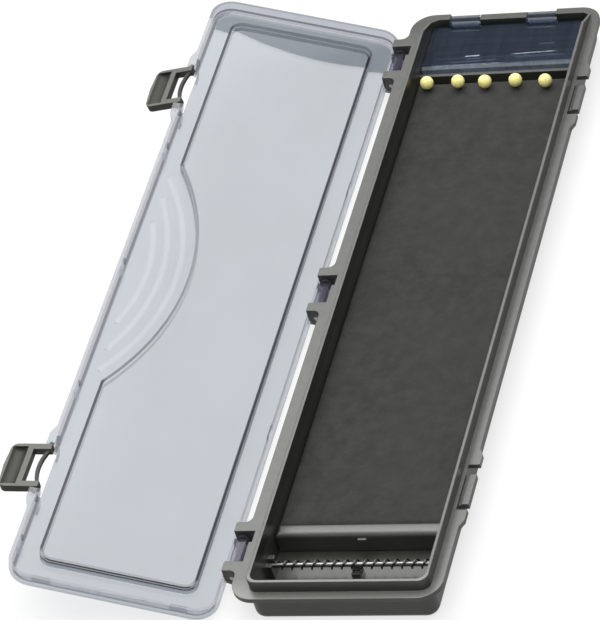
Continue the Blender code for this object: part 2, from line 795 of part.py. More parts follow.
def make_spring(material):
    points = spring_points()
    data = bpy.data.curves.new("hook_spring", "CURVE")
    data.dimensions = "3D"
    data.bevel_depth = SPRING_WIRE_RADIUS
    data.bevel_resolution = 1
    data.use_fill_caps = True
    spline = data.splines.new("POLY")
    spline.points.add(len(points) - 1)
    for point, place in zip(spline.points, points):
        point.co = (*place, 1.0)
    shape = bpy.data.objects.new("hook_spring", data)
    PARTS.objects.link(shape)
    bpy.context.view_layer.update()
    made = mesh_from_curve(shape, material)
    apart = SPRING_POINTS_A_TURN // 2
    least = min(
        (points[i] - points[j]).length
        for i in range(len(points))
        for j in range(i + apart, len(points))
    )
    print(f"hook_spring: least gap to itself {(least - 2 * SPRING_WIRE_RADIUS) * 1000:.2f} mm")
    smooth(made)
    return made


def make_hinge_pins(material):
    half = LUG_SPACING / 2 + LUG_WIDTH - GAP
    for name, y in zip(("far", "mid", "near"), HINGE_STATIONS):
        made = rod(
            f"hinge_pin_{name}",
            HINGE_PIN_RADIUS,
            (y - half, y + half),
            (HINGE_X, HINGE_Z),
            "Y",
            SMALL_ROUND_STEPS,
            material,
        )
        smooth(made)


def make_flap(material):
    """The clear flap: a plate with a front lip and two tabs that clip on bars."""
    frame = pivot("hook_flap_pivot", (0.0, TAB_AXIS_Y, TAB_AXIS_Z))
    top = TRAY_HEIGHT - FLAP_TOP_DROP
    under = top - FLAP_THICK
    flap = slab(
        "hook_flap",
        (CAVITY_LEFT + GAP, CAVITY_RIGHT - GAP),
        (FLAP_FRONT_Y + FLAP_LIP_THICK - LAP / 2, CAVITY_FAR - FLAP_BACK_CLEARANCE),
        (under, top),
        FLAP_CORNER,
        material=material,
        far_only=True,
    )
    low = top - FLAP_LIP_HEIGHT
    back = FLAP_FRONT_Y + FLAP_LIP_THICK
    profile = [(back, low), (FLAP_FRONT_Y, low)]
    profile += [(FLAP_FRONT_Y, top - FLAP_LIP_BEVEL), (FLAP_FRONT_Y + FLAP_LIP_BEVEL, top), (back, top)]
    lip = outline_solid("flap_lip", [profile], (CAVITY_LEFT + GAP, CAVITY_RIGHT - GAP), "YZ")
    join(flap, lip)
    for name, x in (("left", TAB_LEFT_X), ("right", TAB_RIGHT_X)):
        span = (x - TAB_WIDTH / 2, x + TAB_WIDTH / 2)
        arm = slab(
            f"tab_arm_{name}",
            span,
            (CAVITY_FAR - FLAP_BACK_CLEARANCE - FLAP_THICK, TAB_AXIS_Y),
            (under, TAB_AXIS_Z + TAB_KNUCKLE_RADIUS),
        )
        knuckle = rod(
            f"tab_knuckle_{name}",
            TAB_KNUCKLE_RADIUS,
            span,
            (TAB_AXIS_Y, TAB_AXIS_Z),
            "X",
            SMALL_ROUND_STEPS,
        )
        wide = (span[0] - OVERRUN, span[1] + OVERRUN)
        bore = rod(
            f"tab_bore_{name}",
            TAB_BAR_RADIUS + GAP,
            wide,
            (TAB_AXIS_Y, TAB_AXIS_Z),
            "X",
            SMALL_ROUND_STEPS,
        )
        slot = slab(
            f"tab_slot_{name}",
            wide,
            (TAB_AXIS_Y, TAB_AXIS_Y + TAB_KNUCKLE_RADIUS + OVERRUN),
            (TAB_AXIS_Z - TAB_SLOT_WIDTH / 2, TAB_AXIS_Z + TAB_SLOT_WIDTH / 2),
        )
        join(flap, arm, knuckle)
        cut(flap, bore, slot)
    carry(flap, frame, (0.0, TAB_AXIS_Y, TAB_AXIS_Z))
    return flap


def crescent_disc(name, z_span, grow=0.0):
    """The round edge that bites into the lid panel on the latch side."""
    radius = (CRESCENT_HALF_CHORD ** 2 + CRESCENT_DEPTH ** 2) / (2 * CRESCENT_DEPTH)
    apex = LID_RIGHT - PANEL_MARGIN_LATCH - CRESCENT_DEPTH
    return rod(name, radius + grow, z_span, (apex + radius, CRESCENT_Y), "Z", ROUND_STEPS * 6)


def ridge(name, apex_inset, radius, foot_z):
    """One curved rib on the crescent, with sloping sides, from its foot downwards."""
    apex = LID_RIGHT - apex_inset
    centre_x = apex + radius
    half_turn = math.acos(1.0 - (LID_RIGHT - RIDGE_END - apex) / radius)
    work = bmesh.new()
    sections = []
    for step in range(CURVE_STEPS + 1):
        angle = math.pi - half_turn + 2 * half_turn * step / CURVE_STEPS
        section = []
        for half, z in (
            (RIDGE_WIDTH / 2, foot_z + SMALL_EDGE),
            (RIDGE_WIDTH / 2, foot_z),
            (RIDGE_CREST / 2, foot_z - RIDGE_HEIGHT),
            (-RIDGE_CREST / 2, foot_z - RIDGE_HEIGHT),
            (-RIDGE_WIDTH / 2, foot_z),
            (-RIDGE_WIDTH / 2, foot_z + SMALL_EDGE),
        ):
            away = radius + half
            place = (centre_x + away * math.cos(angle), CRESCENT_Y + away * math.sin(angle), z)
            section.append(work.verts.new(place))
        sections.append(section)
    for first, second in zip(sections, sections[1:]):
        for k in range(len(first)):
            after = (k + 1) % len(first)
            work.faces.new((first[k], first[after], second[after], second[k]))
    work.faces.new(sections[0][::-1])
    work.faces.new(sections[-1])
    bmesh.ops.recalc_face_normals(work, faces=work.faces)
    return link_mesh(name, work, None)


def rim_pads(low, high):
    """Small thick pads on the inside of the lid's rim, between two heights."""
    half = LID_LENGTH / 2
    reach = RIM_PAD_LENGTH / 2
    inner_right = LID_RIGHT - LID_WALL
    inner_left = LID_LEFT + LID_WALL
    inner_near = -half + LID_WALL
    pads = []
    for number, share in enumerate(RIM_PAD_LATCH_Y_SHARE):
        y = half * share
        span = (inner_right - RIM_PAD_THICK, inner_right + LAP / 2)
        pads.append(slab(f"rim_pad_latch_{number}", span, (y - reach, y + reach), (low, high)))
    for number, share in enumerate(RIM_PAD_HINGE_Y_SHARE):
        y = half * share
        span = (inner_left - LAP / 2, inner_left + RIM_PAD_THICK)
        pads.append(slab(f"rim_pad_hinge_{number}", span, (y - reach, y + reach), (low, high)))
    for number, share in enumerate(RIM_PAD_NEAR_X_SHARE):
        x = (LID_LEFT + LID_RIGHT) / 2 + (LID_RIGHT - LID_LEFT) / 2 * share
        span = (inner_near - LAP / 2, inner_near + RIM_PAD_THICK)
        pads.append(slab(f"rim_pad_near_{number}", (x - reach, x + reach), span, (low, high)))
    return pads


def knuckle_hollow(name, low_y, high_y):
    """A moulded hollow in a knuckle, on the side that is up when the lid lies open."""
    floor = HINGE_Z + HINGE_RADIUS - KNUCKLE_HOLLOW_DEPTH
    half = KNUCKLE_HOLLOW_WIDTH / 2
    made = slab(name, (HINGE_X - half, HINGE_X + half), (low_y, high_y), (floor, floor + OVERRUN))
    hinge = Matrix.Translation((HINGE_X, 0.0, HINGE_Z))
    turn = Matrix.Rotation(math.radians(LID_OPEN_DEG), 4, "Y")
    made.data.transform(hinge @ turn @ hinge.inverted())
    return made


def make_lid(material):
    """The clear lid: a shallow shell with a sunk panel, ears and knuckles."""
    frame = pivot("lid_pivot", (HINGE_X, 0.0, HINGE_Z), -LID_OPEN_DEG)
    half = LID_LENGTH / 2
    top = LID_BOTTOM + LID_HEIGHT
    lid = slab(
        "lid",
        (LID_LEFT, LID_RIGHT),
        (-half, half),
        (LID_BOTTOM, top),
        LID_CORNER,
        LID_EDGE,
        "top",
        material,
    )
    panel_x = (LID_LEFT + PANEL_MARGIN_HINGE, LID_RIGHT - PANEL_MARGIN_LATCH)
    panel_y = (-half + PANEL_MARGIN_NEAR, half - PANEL_MARGIN_FAR)

    for name, y in LATCH_STATIONS.items():
        long = BULGE_LENGTH / 2
        reach = LID_RIGHT + EAR_REACH
        outline = [(LID_RIGHT - LID_WALL, y - long), (LID_RIGHT - SMALL_EDGE, y - long)]
        outline += [(reach, y - long + BULGE_TAPER), (reach, y + long - BULGE_TAPER)]
        outline += [(LID_RIGHT - SMALL_EDGE, y + long), (LID_RIGHT - LID_WALL, y + long)]
        ear = outline_solid(name + "_ear", [outline], (LID_BOTTOM, LID_BOTTOM + EAR_HEIGHT))
        join(lid, ear)

    hollow = slab(
        "lid_hollow",
        (LID_LEFT + LID_WALL, LID_RIGHT - LID_WALL),
        (-half + LID_WALL, half - LID_WALL),
        (LID_BOTTOM - OVERRUN, top - LID_TOP),
        LID_CORNER - LID_WALL,
        LID_EDGE - LID_WALL / 2,
        "top",
    )
    cut(lid, hollow)

    step = slab(
        "panel_step",
        (panel_x[0] - LID_TOP, panel_x[1] + LID_TOP),
        (panel_y[0] - LID_TOP, panel_y[1] + LID_TOP),
        (top - LID_TOP - PANEL_SINK, top - LID_TOP / 2),
        PANEL_CORNER + LID_TOP,
    )
    cut(step, crescent_disc("step_crescent", (LID_BOTTOM, top + OVERRUN), -LID_TOP))
    sink = slab("panel_sink", panel_x, panel_y, (top - PANEL_SINK, top + OVERRUN), PANEL_CORNER)
    cut(sink, crescent_disc("sink_crescent", (LID_BOTTOM, top + OVERRUN + LAP)))
    join(lid, step)
    cut(lid, sink)
    underside = top - LID_TOP
    for number, (apex, radius) in enumerate(zip(RIDGE_APEX, RIDGE_RADIUS)):
        join(lid, ridge(f"crescent_ridge_{number}", apex, radius, underside))
    join(lid, *rim_pads(LID_BOTTOM + RIM_PAD_DROP, underside + SMALL_EDGE))

    for name, y in LATCH_STATIONS.items():
        notch = slab(
            name + "_notch",
            (LID_RIGHT - EAR_NOTCH_DEPTH, LID_RIGHT + EAR_REACH + OVERRUN),
            (y - EAR_NOTCH_LENGTH / 2, y + EAR_NOTCH_LENGTH / 2),
            (LID_BOTTOM - OVERRUN, top + OVERRUN),
        )
        stub_span = LATCH_WIDTH / 2 + LATCH_STUB_LENGTH + GAP
        socket = rod(
            name + "_socket",
            LATCH_STUB_RADIUS + LATCH_STUB_CLEARANCE,
            (y - stub_span, y + stub_span),
            (PIVOT_X, PIVOT_Z),
            "Y",
            SMALL_ROUND_STEPS,
        )
        for side in (-1, 1):
            wall = y + side * EAR_NOTCH_LENGTH / 2
            far = wall + side * (LATCH_STUB_LENGTH + 2 * LID_WALL)
            cheek = slab(
                f"{name}_cheek_{side + 1}",
                (LID_RIGHT - EAR_NOTCH_DEPTH, LID_RIGHT - SMALL_EDGE),
                (min(wall, far), max(wall, far)),
                (LID_BOTTOM, LID_BOTTOM + EAR_HEIGHT),
            )
            join(lid, cheek)
        cut(lid, notch, socket)

    for number, y in enumerate(HINGE_STATIONS):
        side = LUG_SPACING / 2 - KNUCKLE_SIDE_GAP
        span = (y - side, y + side)
        barrel = rod(
            f"knuckle_{number}", HINGE_RADIUS, span, (HINGE_X, HINGE_Z), "Y", ROUND_STEPS
        )
        web = slab(
            f"knuckle_web_{number}",
            (HINGE_X - LAP, LID_LEFT + LID_WALL - SMALL_EDGE),
            span,
            (HINGE_Z, LID_BOTTOM + LID_HEIGHT / 2),
        )
        bore = rod(
            f"knuckle_bore_{number}",
            HINGE_PIN_RADIUS + HINGE_PIN_CLEARANCE,
            (span[0] - OVERRUN, span[1] + OVERRUN),
            (HINGE_X, HINGE_Z),
            "Y",
            SMALL_ROUND_STEPS,
        )
        hollow_end = side - KNUCKLE_HOLLOW_RIM
        join(lid, barrel, web)
        cut(lid, bore, knuckle_hollow(f"knuckle_hollow_{number}", y - hollow_end, y + hollow_end))
    carry(lid, frame, (HINGE_X, 0.0, HINGE_Z))
    for step in lid.modifiers:
        for inner in step.object.modifiers:
            inner.object.data.transform(Matrix.Translation(-Vector((HINGE_X, 0.0, HINGE_Z))))
            inner.object.parent = frame
    return frame


def latch_outline():
    """The latch as it hangs closed, as (y, z) about its pivot, without its bow."""
    half = LATCH_WIDTH / 2
    inner = LATCH_WINDOW_LENGTH / 2
    tip = LATCH_TIP_RADIUS
    low = -LATCH_REACH + LATCH_TIP_BOW
    points = [(-half, LATCH_HEEL)]
    points += arc((-half + tip, low + tip), tip, math.pi, math.pi * 1.5, CORNER_STEPS)
    points += [(0.0, -LATCH_REACH)]
    points += arc((half - tip, low + tip), tip, math.pi * 1.5, math.pi * 2, CORNER_STEPS)
    points += [(half, LATCH_HEEL), (inner, LATCH_HEEL)]
    points += [(inner, -LATCH_GRIP_START), (-inner, -LATCH_GRIP_START), (-inner, LATCH_HEEL)]
    return points


def bow_arc(end_z, direction):
    """The bow's sagging edge between the arms, from end_z at the arms."""
    half = LATCH_WINDOW_LENGTH / 2 + LAP / 2
    radius = (half ** 2 + LATCH_BOW_SAG ** 2) / (2 * LATCH_BOW_SAG)
    spread = math.asin(half / radius)
    middle = end_z - LATCH_BOW_SAG + radius
    start = -math.pi / 2 - direction * spread
    return arc((0.0, middle), radius, start, -math.pi - start, CURVE_STEPS)


def latch_bow(name):
    """The thin sagging bar that joins the arms across the window."""
    outline = bow_arc(-LATCH_BOW_END, 1) + bow_arc(-LATCH_BOW_END + LATCH_BOW_WIDTH, -1)
    return outline_solid(name, [outline], (-LATCH_BOW_THICK / 2, LATCH_BOW_THICK / 2), "YZ")


def latch_scoop(name):
    """The round hollow in the grip's inner face, between its land, sides and tip."""
    start = LATCH_GRIP_START + LATCH_LAND
    end = LATCH_REACH - LATCH_TIP_BOW - LATCH_SCOOP_TIP
    chord = (end - start) / 2
    radius = (chord ** 2 + LATCH_SCOOP_DEPTH ** 2) / (2 * LATCH_SCOOP_DEPTH)
    middle_x = -LATCH_INNER - (radius - LATCH_SCOOP_DEPTH)
    reach = LATCH_WIDTH / 2 - LATCH_SCOOP_MARGIN
    return rod(name, radius, (-reach, reach), (middle_x, -(start + end) / 2), "Y", ROUND_STEPS * 2)


def make_latch(name, lid_frame, material):
    """A latch: a scooped grip, two arms, a bow, and a stub pivot on each side."""
    y = LATCH_STATIONS[name]
    place = (PIVOT_X - HINGE_X, y, PIVOT_Z - HINGE_Z)
    frame = pivot(name + "_pivot", place, -LATCH_OPEN_DEG[name], lid_frame)
    latch = outline_solid(name, [latch_outline()], (-LATCH_INNER, LATCH_OUTER), "YZ", material)
    cut(latch, latch_scoop(name + "_scoop"))
    join(latch, latch_bow(name + "_bow"))
    half = LATCH_WIDTH / 2
    for side in (-1, 1):
        inner = side * (half - LAP)
        outer = side * (half + LATCH_STUB_LENGTH)
        stub = rod(
            f"{name}_stub_{side + 1}",
            LATCH_STUB_RADIUS,
            (min(inner, outer), max(inner, outer)),
            (0.0, 0.0),
            "Y",
            SMALL_ROUND_STEPS,
        )
        join(latch, stub)
    carry(latch, frame, (0.0, 0.0, 0.0))
    return latch


clear_scene()
PARTS = new_collection("fishing_rig_box")
CUTTERS = new_collection("cutters")

OLIVE = plastic("olive_plastic", (0.075, 0.080, 0.062), 0.45)
LATCH_OLIVE = plastic("latch_plastic", (0.085, 0.088, 0.066), 0.42)
FOAM = plastic("foam", (0.065, 0.065, 0.062), 0.95)
RAIL = plastic("rail_plastic", (0.16, 0.165, 0.15), 0.5)
STEEL = plastic("steel", (0.62, 0.62, 0.64), 0.22, 1.0)
YELLOW = plastic("pin_head_plastic", (0.82, 0.76, 0.25), 0.35)
CLEAR = plastic("lid_plastic", (0.62, 0.64, 0.72), 0.12, 0.0, 0.45)
TINTED = plastic("flap_plastic", (0.16, 0.20, 0.30), 0.12, 0.0, 0.55)

make_tray(OLIVE)
make_foam(FOAM)
make_rail(RAIL)
make_rod(STEEL)
make_spring(STEEL)
make_pins(YELLOW, STEEL)
make_hinge_pins(STEEL)
make_flap(TINTED)
LID_FRAME = make_lid(CLEAR)
for latch_name in LATCH_STATIONS:
    make_latch(latch_name, LID_FRAME, LATCH_OLIVE)
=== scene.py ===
import math

import bmesh
import bpy
from mathutils import Matrix, Vector, noise


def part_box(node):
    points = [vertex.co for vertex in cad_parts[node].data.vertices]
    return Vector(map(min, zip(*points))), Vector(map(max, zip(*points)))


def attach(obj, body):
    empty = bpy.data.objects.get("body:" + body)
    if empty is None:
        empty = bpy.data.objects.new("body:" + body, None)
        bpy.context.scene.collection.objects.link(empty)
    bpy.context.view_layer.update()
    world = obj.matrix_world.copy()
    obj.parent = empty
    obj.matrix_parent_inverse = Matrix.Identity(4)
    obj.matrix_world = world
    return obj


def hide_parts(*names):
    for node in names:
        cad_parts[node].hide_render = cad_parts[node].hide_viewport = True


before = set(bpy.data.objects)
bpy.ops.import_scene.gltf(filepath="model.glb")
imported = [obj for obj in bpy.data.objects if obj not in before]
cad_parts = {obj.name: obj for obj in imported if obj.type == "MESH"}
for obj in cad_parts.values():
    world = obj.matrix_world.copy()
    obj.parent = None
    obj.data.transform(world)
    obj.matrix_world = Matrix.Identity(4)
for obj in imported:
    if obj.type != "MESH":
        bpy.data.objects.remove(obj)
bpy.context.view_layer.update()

IMAGE_WIDTH, IMAGE_HEIGHT = 600, 620

# Camera: the photograph's viewing angle, in degrees, millimetres and pixels
CAMERA_AZIMUTH = 25.449
CAMERA_ELEVATION = 39.555
CAMERA_ROLL = 18.631
CAMERA_FOCAL_PX = 4522.18
CAMERA_OFFSET_MM = (51.138, 9.954)
CAMERA_DISTANCE_MM = 1835.43
CAMERA_TARGET_HEIGHT_MM = 15.0
CAMERA_CLIP = (0.1, 20.0)
SENSOR_MM = 36.0

# Studio
FLOOR_SIZE = 6.0
FLOOR_COLOUR = (0.86, 0.86, 0.86)
FLOOR_BOUNCE_COLOUR = (0.25, 0.25, 0.25)
FLOOR_GLOW_SHARE = 0.72
FLOOR_GLOSS_SHARE = 0.45
SIDE_FILL = 0.28
TOP_FILL = 0.45
CEILING_GLOW = 0.20
CEILING_FROM = 0.42
CEILING_FULL = 0.62
SOFTBOX_EDGE_PLACE = (0.032, 1.398, 1.156)
SOFTBOX_AZIMUTH = 103
SOFTBOX_SIZE = (2.3, 1.5)
SOFTBOX_RADIANCE = 2.4
FRONT_LAMP_PLACE = (0.20, -0.55, 1.40)
FRONT_LAMP_SIZE = (1.1, 0.7)
FRONT_LAMP_RADIANCE = 3.0
WATTS_A_RADIANCE = 4.0
WHITE = (1.0, 1.0, 1.0)

# Lid, in its closed place, in metres
HINGE = Vector((-0.0456, 0.0, 0.0101))
LID_OPEN_DEG = 162.43
LID_SHUTS = Matrix.Rotation(math.radians(LID_OPEN_DEG), 3, "Y")
LID_X = (-0.0425, 0.0415)
LID_Y = (-0.1746, 0.1746)
LID_CORNER = 0.0095
PANEL_X = (-0.0305, 0.0305)
PANEL_Y = (-0.1596, 0.1643)
PANEL_CORNER = 0.0042
CRESCENT_MIDDLE = (0.13414, 0.0040)
CRESCENT_RADIUS = 0.12314

# Which part of the lid a face belongs to
KNUCKLES_TO_X = -0.0427
INSIDE_RIM_X = (-0.0360, 0.0355)
INSIDE_RIM_Y = 0.1705
STEP_DEPTH = 0.0015
FAR_RIM_FROM = 0.1660
RIDGE_INSIDE = 0.0020
RIDGE_X = (0.0090, 0.0365)
RIDGE_HEIGHTS = (0.0201, 0.02077)
PAD_SPAN = (-0.00245, -0.00145)
PAD_HEIGHTS = (0.0155, 0.0194)
FLAT_FACE = 0.9995
LEVEL_FACE = 0.96
STEEP_FACE = 0.3
BENT_FACE = 0.25

# Painted dark lines on the lid, standing in for the darkening refraction gives through its upright walls:
# each line's middle, half width and soft edge, and where it fades
STEP_LINE = (0.00065, 0.00042, 0.00045)
STEP_FAR_SHARE = 0.10
STEP_FAR_Y = (PANEL_Y[1] - 0.006, PANEL_Y[1] - 0.002)
STEP_NEAR_SHARE = 0.30
STEP_NEAR_Y = (PANEL_Y[0] + 0.001, PANEL_Y[0] + 0.004)
STEP_HINGE_SHARE = 0.88
STEP_HINGE_X = (PANEL_X[0] + 0.002, PANEL_X[0] + 0.008)
BITE_LINE_SHARE = 0.45
BITE_LINE_FADE = 0.0010
NEAR_STEP_LINE_Z = (0.0206, 0.0003, 0.0003)
FOOT_LINE = (-0.0021, 0.0004, 0.0005)
FOOT_LINE_SHARE = (0.30, 0.55)
FOOT_LINE_X = (LID_X[1] - 0.008, LID_X[1] - 0.004)
WALL_INSIDE = -0.0008
WALL_LINE_Z = (0.0190, 0.0004, 0.0004)
WALL_LINE_Y = (0.160, 0.165)
WALL_LINE_SHARE = 0.70
EDGE_LINE_Z = (0.0221, 0.0003, 0.0005)
EDGE_LINE_SHARE = 0.60
LINE_TINT = (0.11, 0.115, 0.14)
LINE_MIRROR_LOSS = 0.85

# The bulge of the lid's sheet, which bends what it mirrors
SHEET_MIDDLE_X = -0.088
SHEET_HALF_WIDTH = 0.031
SHEET_TILT = 0.0018

# Shared finishing sizes
WELD = 0.000002
FLAT_DEG = 0.6
SMOOTH_DEG = 32.0
EASE_STEPS = 2
EASE_FROM_DEG = 40.0
EVEN_WEIGHT = 90
TRAY_EASE = 0.00025
LATCH_EASE = 0.00025
LAND_FACING = 0.97
LAND_DEPTH = 0.0002
WORN_EDGE = 0.0004
WORN_TURN = (0.80, 0.995)
BEVEL_SAMPLES = 4

# The tray's level tops, painted lighter as painted top light that fades at the far end and is stronger at the
# near end, and its collar's upright faces, painted darker as painted shade
LEVEL_TOP = (0.80, 0.97)
TOP_LIGHT_Z = (0.0133, 0.0137)
NEAR_TOP_LIGHT_SHARE = 0.8
NEAR_END_Y = (-0.1725, -0.164)
NEAR_PAINTED_LIGHT = (0.20, 0.205, 0.185)
FAR_TOP_LIGHT_SHARE = 0.25
FAR_END_Y = (0.150, 0.168)
COLLAR_Z = (0.0151, 0.0156)
COLLAR_SHADE = 0.8
COLLAR_PAINTED_SHADE = (0.010, 0.0105, 0.008)
SKIN_ROUGHNESS = 0.42

# Patterns: the scale, detail and roughness of each noise, the scale of each cell pattern
FLOW_CLOUDS = (45.0, 3.0, 0.6)
SPARK_GRAIN = (2600.0, 2.0, 0.6)
SCUFFS = (380.0, 3.0, 0.7)
FOAM_MOTTLE = (160.0, 4.0, 0.65)
FOAM_PATCHES = (22.0, 2.0, 0.5)
FOAM_PORES = 1500.0
DRAWN_LINES = (1.0, 2.0, 0.6)
TARNISH = (220.0, 3.0, 0.6)
BEAD_CLOUDS = (420.0, 3.0, 0.6)
BEAD_SPECKS = 1150.0
CLEAR_CLOUDS = (18.0, 3.0, 0.6)
STREAKS = (1.0, 2.0, 0.5)
BROKEN = (1.0, 3.0, 0.6)

# How much of a pattern shows: from and to this share, over this part of the pattern's own range
MIDDLE = (0.35, 0.65)
SPECKLED = (0.0, 0.35, 0.45, 0.75)
RUBBED = (0.25, 1.0, 0.35, 0.6)
PATCHY_TOP_LIGHT = (0.55, 0.85, *MIDDLE)
PATCHED = (0.0, 0.35, 0.4, 0.7)
PORED = (0.5, 0.0, 0.0, 0.35)
SPECKED = (0.90, 0.0, 0.12, 0.30)
BROKEN_OFF = (0.45, 1.0, 0.35, 0.6)
CLOUD_TINT = 0.96
CLOUD_GLOSS = 1.3
WIPE_HAZE = (0.8, 1.2)
GLANCE_POWER = 5.0
FOAM_ROUGHNESS = (0.85, 0.98)
STEEL_ROUGHNESS = (0.16, 0.34)
BEAD_ROUGHNESS = (0.42, 0.60)
FOAM_SHINE = 0.25

# Patterns drawn out along one direction, and the depth and strength of each relief
WIRE_ALONG, WIRE_ACROSS = 60.0, 2400.0
WIPES = (300.0, 25.0, 300.0)
FLAP_WAVES = (0.0001, (12.0, 220.0, 12.0))
STREAK_BREAKS = (260.0, 1600.0, 1.0)
SPARK_RELIEF = (0.00003, 0.35)
FOAM_RELIEF = (0.00014, 0.6)
FOAM_PORE_SHARE = 0.6
WIRE_RELIEF = (0.00001, 0.3)
BEAD_RELIEF = (0.00006, 0.5)

# Hook flap
FLAP_LIP_DEPTH = 0.0013
FLAP_TAB_DEPTH = 0.0054
FLAP_TAB_FRONT = 0.0033
NECK_Y = (0.1688, 0.1696)
NECK_SHADE = 0.75
# Light streaks across the flap: their colour, the solid share of each stroke, and each stroke's start, end,
# half width and strength.
STREAK_COLOUR = (0.62, 0.66, 0.72)
STREAK_SOLID = 0.7
FLAP_STREAK_STROKES = (
    ((0.0042, 0.1489), (0.0268, 0.1499), 0.00022, 0.75),
    ((-0.0155, 0.1488), (-0.0078, 0.1492), 0.00026, 0.80),
    ((0.0164, 0.1551), (0.0248, 0.1553), 0.00045, 0.22),
    ((-0.0235, 0.1451), (0.0020, 0.1457), 0.00030, 0.26),
    ((0.0060, 0.1462), (0.0330, 0.1474), 0.00025, 0.20),
    ((-0.0340, 0.1430), (0.0080, 0.1433), 0.00040, 0.45),
    ((0.0020, 0.1432), (0.0370, 0.1434), 0.00035, 0.28),
)

# Steel: the wound spring, rod and pins
COIL_WIRE = 0.00036
COIL_TURNS = 16.0
COIL_POINTS_A_TURN = 28.0
COIL_SIDES = 10
COIL_OPENS = (0.25, 1.0)
PIN_RINGS = 40
PIN_SIDES = 20
PIN_END_SHARE = 0.35
PIN_TIP_SHARE = 0.06
NEEDLE_POINT = 0.0022
NO_POINT = 0.000001

# Ball heads
BEAD_DETAIL = 5
BEAD_LUMP_HEIGHT = 0.00008
BEAD_LUMP_SIZE = 0.0016
BEAD_DIMPLE_RADIUS = 0.0008
BEAD_DIMPLE_DEPTH = 0.0005

# Foam board
FOAM_GRID = 0.0011
FOAM_ROUND = 0.0010
FOAM_ROUND_SHARE = 0.8
FOAM_WAVE = 0.00010
FOAM_WAVE_LENGTH = 0.030
FOAM_PRESS = 0.0005
FOAM_PRESS_RADIUS = 0.0035
FOAM_PRESS_FALL = 3.0
FOAM_SMOOTH_DEG = 50.0
PIN_NUMBERS = range(1, 6)
# Painted shade round each needle in the foam: full up to the first radius, gone by the second.
PIN_SHADE_RADIUS = (0.00048, 0.00072)


# ---------------------------------------------------------------- node helpers

def feed(socket, value):
    """Puts a number, a triple or another node's output into a socket."""
    if isinstance(value, bpy.types.NodeSocket):
        socket.id_data.links.new(value, socket)
    elif socket.type == "RGBA":
        socket.default_value = (*value, 1.0)
    else:
        socket.default_value = value


def add_node(tree, kind, inputs):
    """A node of this kind with its inputs fed, by name or number."""
    made = tree.nodes.new(kind)
    for key, value in inputs.items():
        feed(made.inputs[key], value)
    return made


def blank_material(name):
    """An empty material, its tree and its surface socket."""
    made = bpy.data.materials.new(name)
    made.use_nodes = True
    tree = made.node_tree
    tree.nodes.clear()
    return made, tree, tree.nodes.new("ShaderNodeOutputMaterial").inputs["Surface"]


def new_material(name):
    """A material with a Principled shader; returns it with its tree and the shader's inputs."""
    made, tree, surface = blank_material(name)
    shader = tree.nodes.new("ShaderNodeBsdfPrincipled")
    feed(surface, shader.outputs["BSDF"])
    return made, tree, shader.inputs


def coordinates(tree, kind="Object"):
    """A point's coordinates of this kind, as a vector."""
    return tree.nodes.new("ShaderNodeTexCoord").outputs[kind]


def axes_of(tree, vector):
    """A vector's X, Y and Z."""
    return add_node(tree, "ShaderNodeSeparateXYZ", {0: vector}).outputs


def place_on_piece(tree, stretch=(1.0, 1.0, 1.0)):
    """The piece's own coordinates, stretched for a directional pattern."""
    inputs = {"Vector": coordinates(tree), "Scale": stretch}
    return add_node(tree, "ShaderNodeMapping", inputs).outputs["Vector"]


def grain(tree, where, scale, detail, rough):
    inputs = {"Vector": where, "Scale": scale, "Detail": detail, "Roughness": rough}
    return add_node(tree, "ShaderNodeTexNoise", inputs).outputs["Fac"]


def cells(tree, where, scale):
    return add_node(tree, "ShaderNodeTexVoronoi", {"Vector": where, "Scale": scale}).outputs["Distance"]


def spread(tree, value, low, high, start=0.3, end=0.7):
    """A pattern's value mapped from start..end to low..high."""
    inputs = {"Value": value, "From Min": start, "From Max": end, "To Min": low, "To Max": high}
    return add_node(tree, "ShaderNodeMapRange", inputs).outputs["Result"]


def blend_colour(tree, factor, first, second, kind="MIX"):
    """Two colours mixed by a pattern or a share; a colour may be a triple or a socket."""
    made = tree.nodes.new("ShaderNodeMix")
    made.data_type = "RGBA"
    made.blend_type = kind
    for key, value in ((0, factor), (6, first), (7, second)):
        feed(made.inputs[key], value)
    return made.outputs[2]


def mix_shaders(tree, share, first, second):
    return add_node(tree, "ShaderNodeMixShader", {0: share, 1: first, 2: second}).outputs[0]


def calculate(tree, operation, first, second=0.0):
    made = add_node(tree, "ShaderNodeMath", {0: first, 1: second})
    made.operation = operation
    return made.outputs[0]


def chained(operation):
    """A function that joins two or more values, one after another, by this operation."""
    def joined(tree, first, *others):
        for value in others:
            first = calculate(tree, operation, first, value)
        return first
    return joined


times, divided = chained("MULTIPLY"), chained("DIVIDE")
plus, minus = chained("ADD"), chained("SUBTRACT")
most, least = chained("MAXIMUM"), chained("MINIMUM")


def squared(tree, value):
    return calculate(tree, "POWER", value, 2.0)


def diagonal(tree, across, along):
    """The length of the diagonal over two sides."""
    return calculate(tree, "SQRT", plus(tree, squared(tree, across), squared(tree, along)))


def vectors(tree, operation, first, second=None):
    """A calculation on vectors; returns its outputs."""
    made = tree.nodes.new("ShaderNodeVectorMath")
    made.operation = operation
    feed(made.inputs[0], first)
    if second is not None:
        feed(made.inputs["Scale" if operation == "SCALE" else 1], second)
    return made.outputs


def raised(tree, height, distance, strength=1.0, base=None):
    """The normal of a surface with this relief."""
    inputs = {"Strength": strength, "Distance": distance, "Height": height}
    if base:
        inputs["Normal"] = base
    return add_node(tree, "ShaderNodeBump", inputs).outputs["Normal"]


def rounded_normal(tree, radius):
    bevel = add_node(tree, "ShaderNodeBevel", {"Radius": radius})
    bevel.samples = BEVEL_SAMPLES
    return bevel.outputs["Normal"]


def surface_normal(tree):
    return tree.nodes.new("ShaderNodeNewGeometry").outputs["Normal"]


def eased_edge(tree, round_radius, worn_radius):
    """The normal of edges rounded to round_radius, and a mask of the worn part of them."""
    turn = vectors(tree, "DOT_PRODUCT", rounded_normal(tree, worn_radius), surface_normal(tree))
    return rounded_normal(tree, round_radius), spread(tree, turn["Value"], 1.0, 0.0, *WORN_TURN)


# ---------------------------------------------------------------- materials

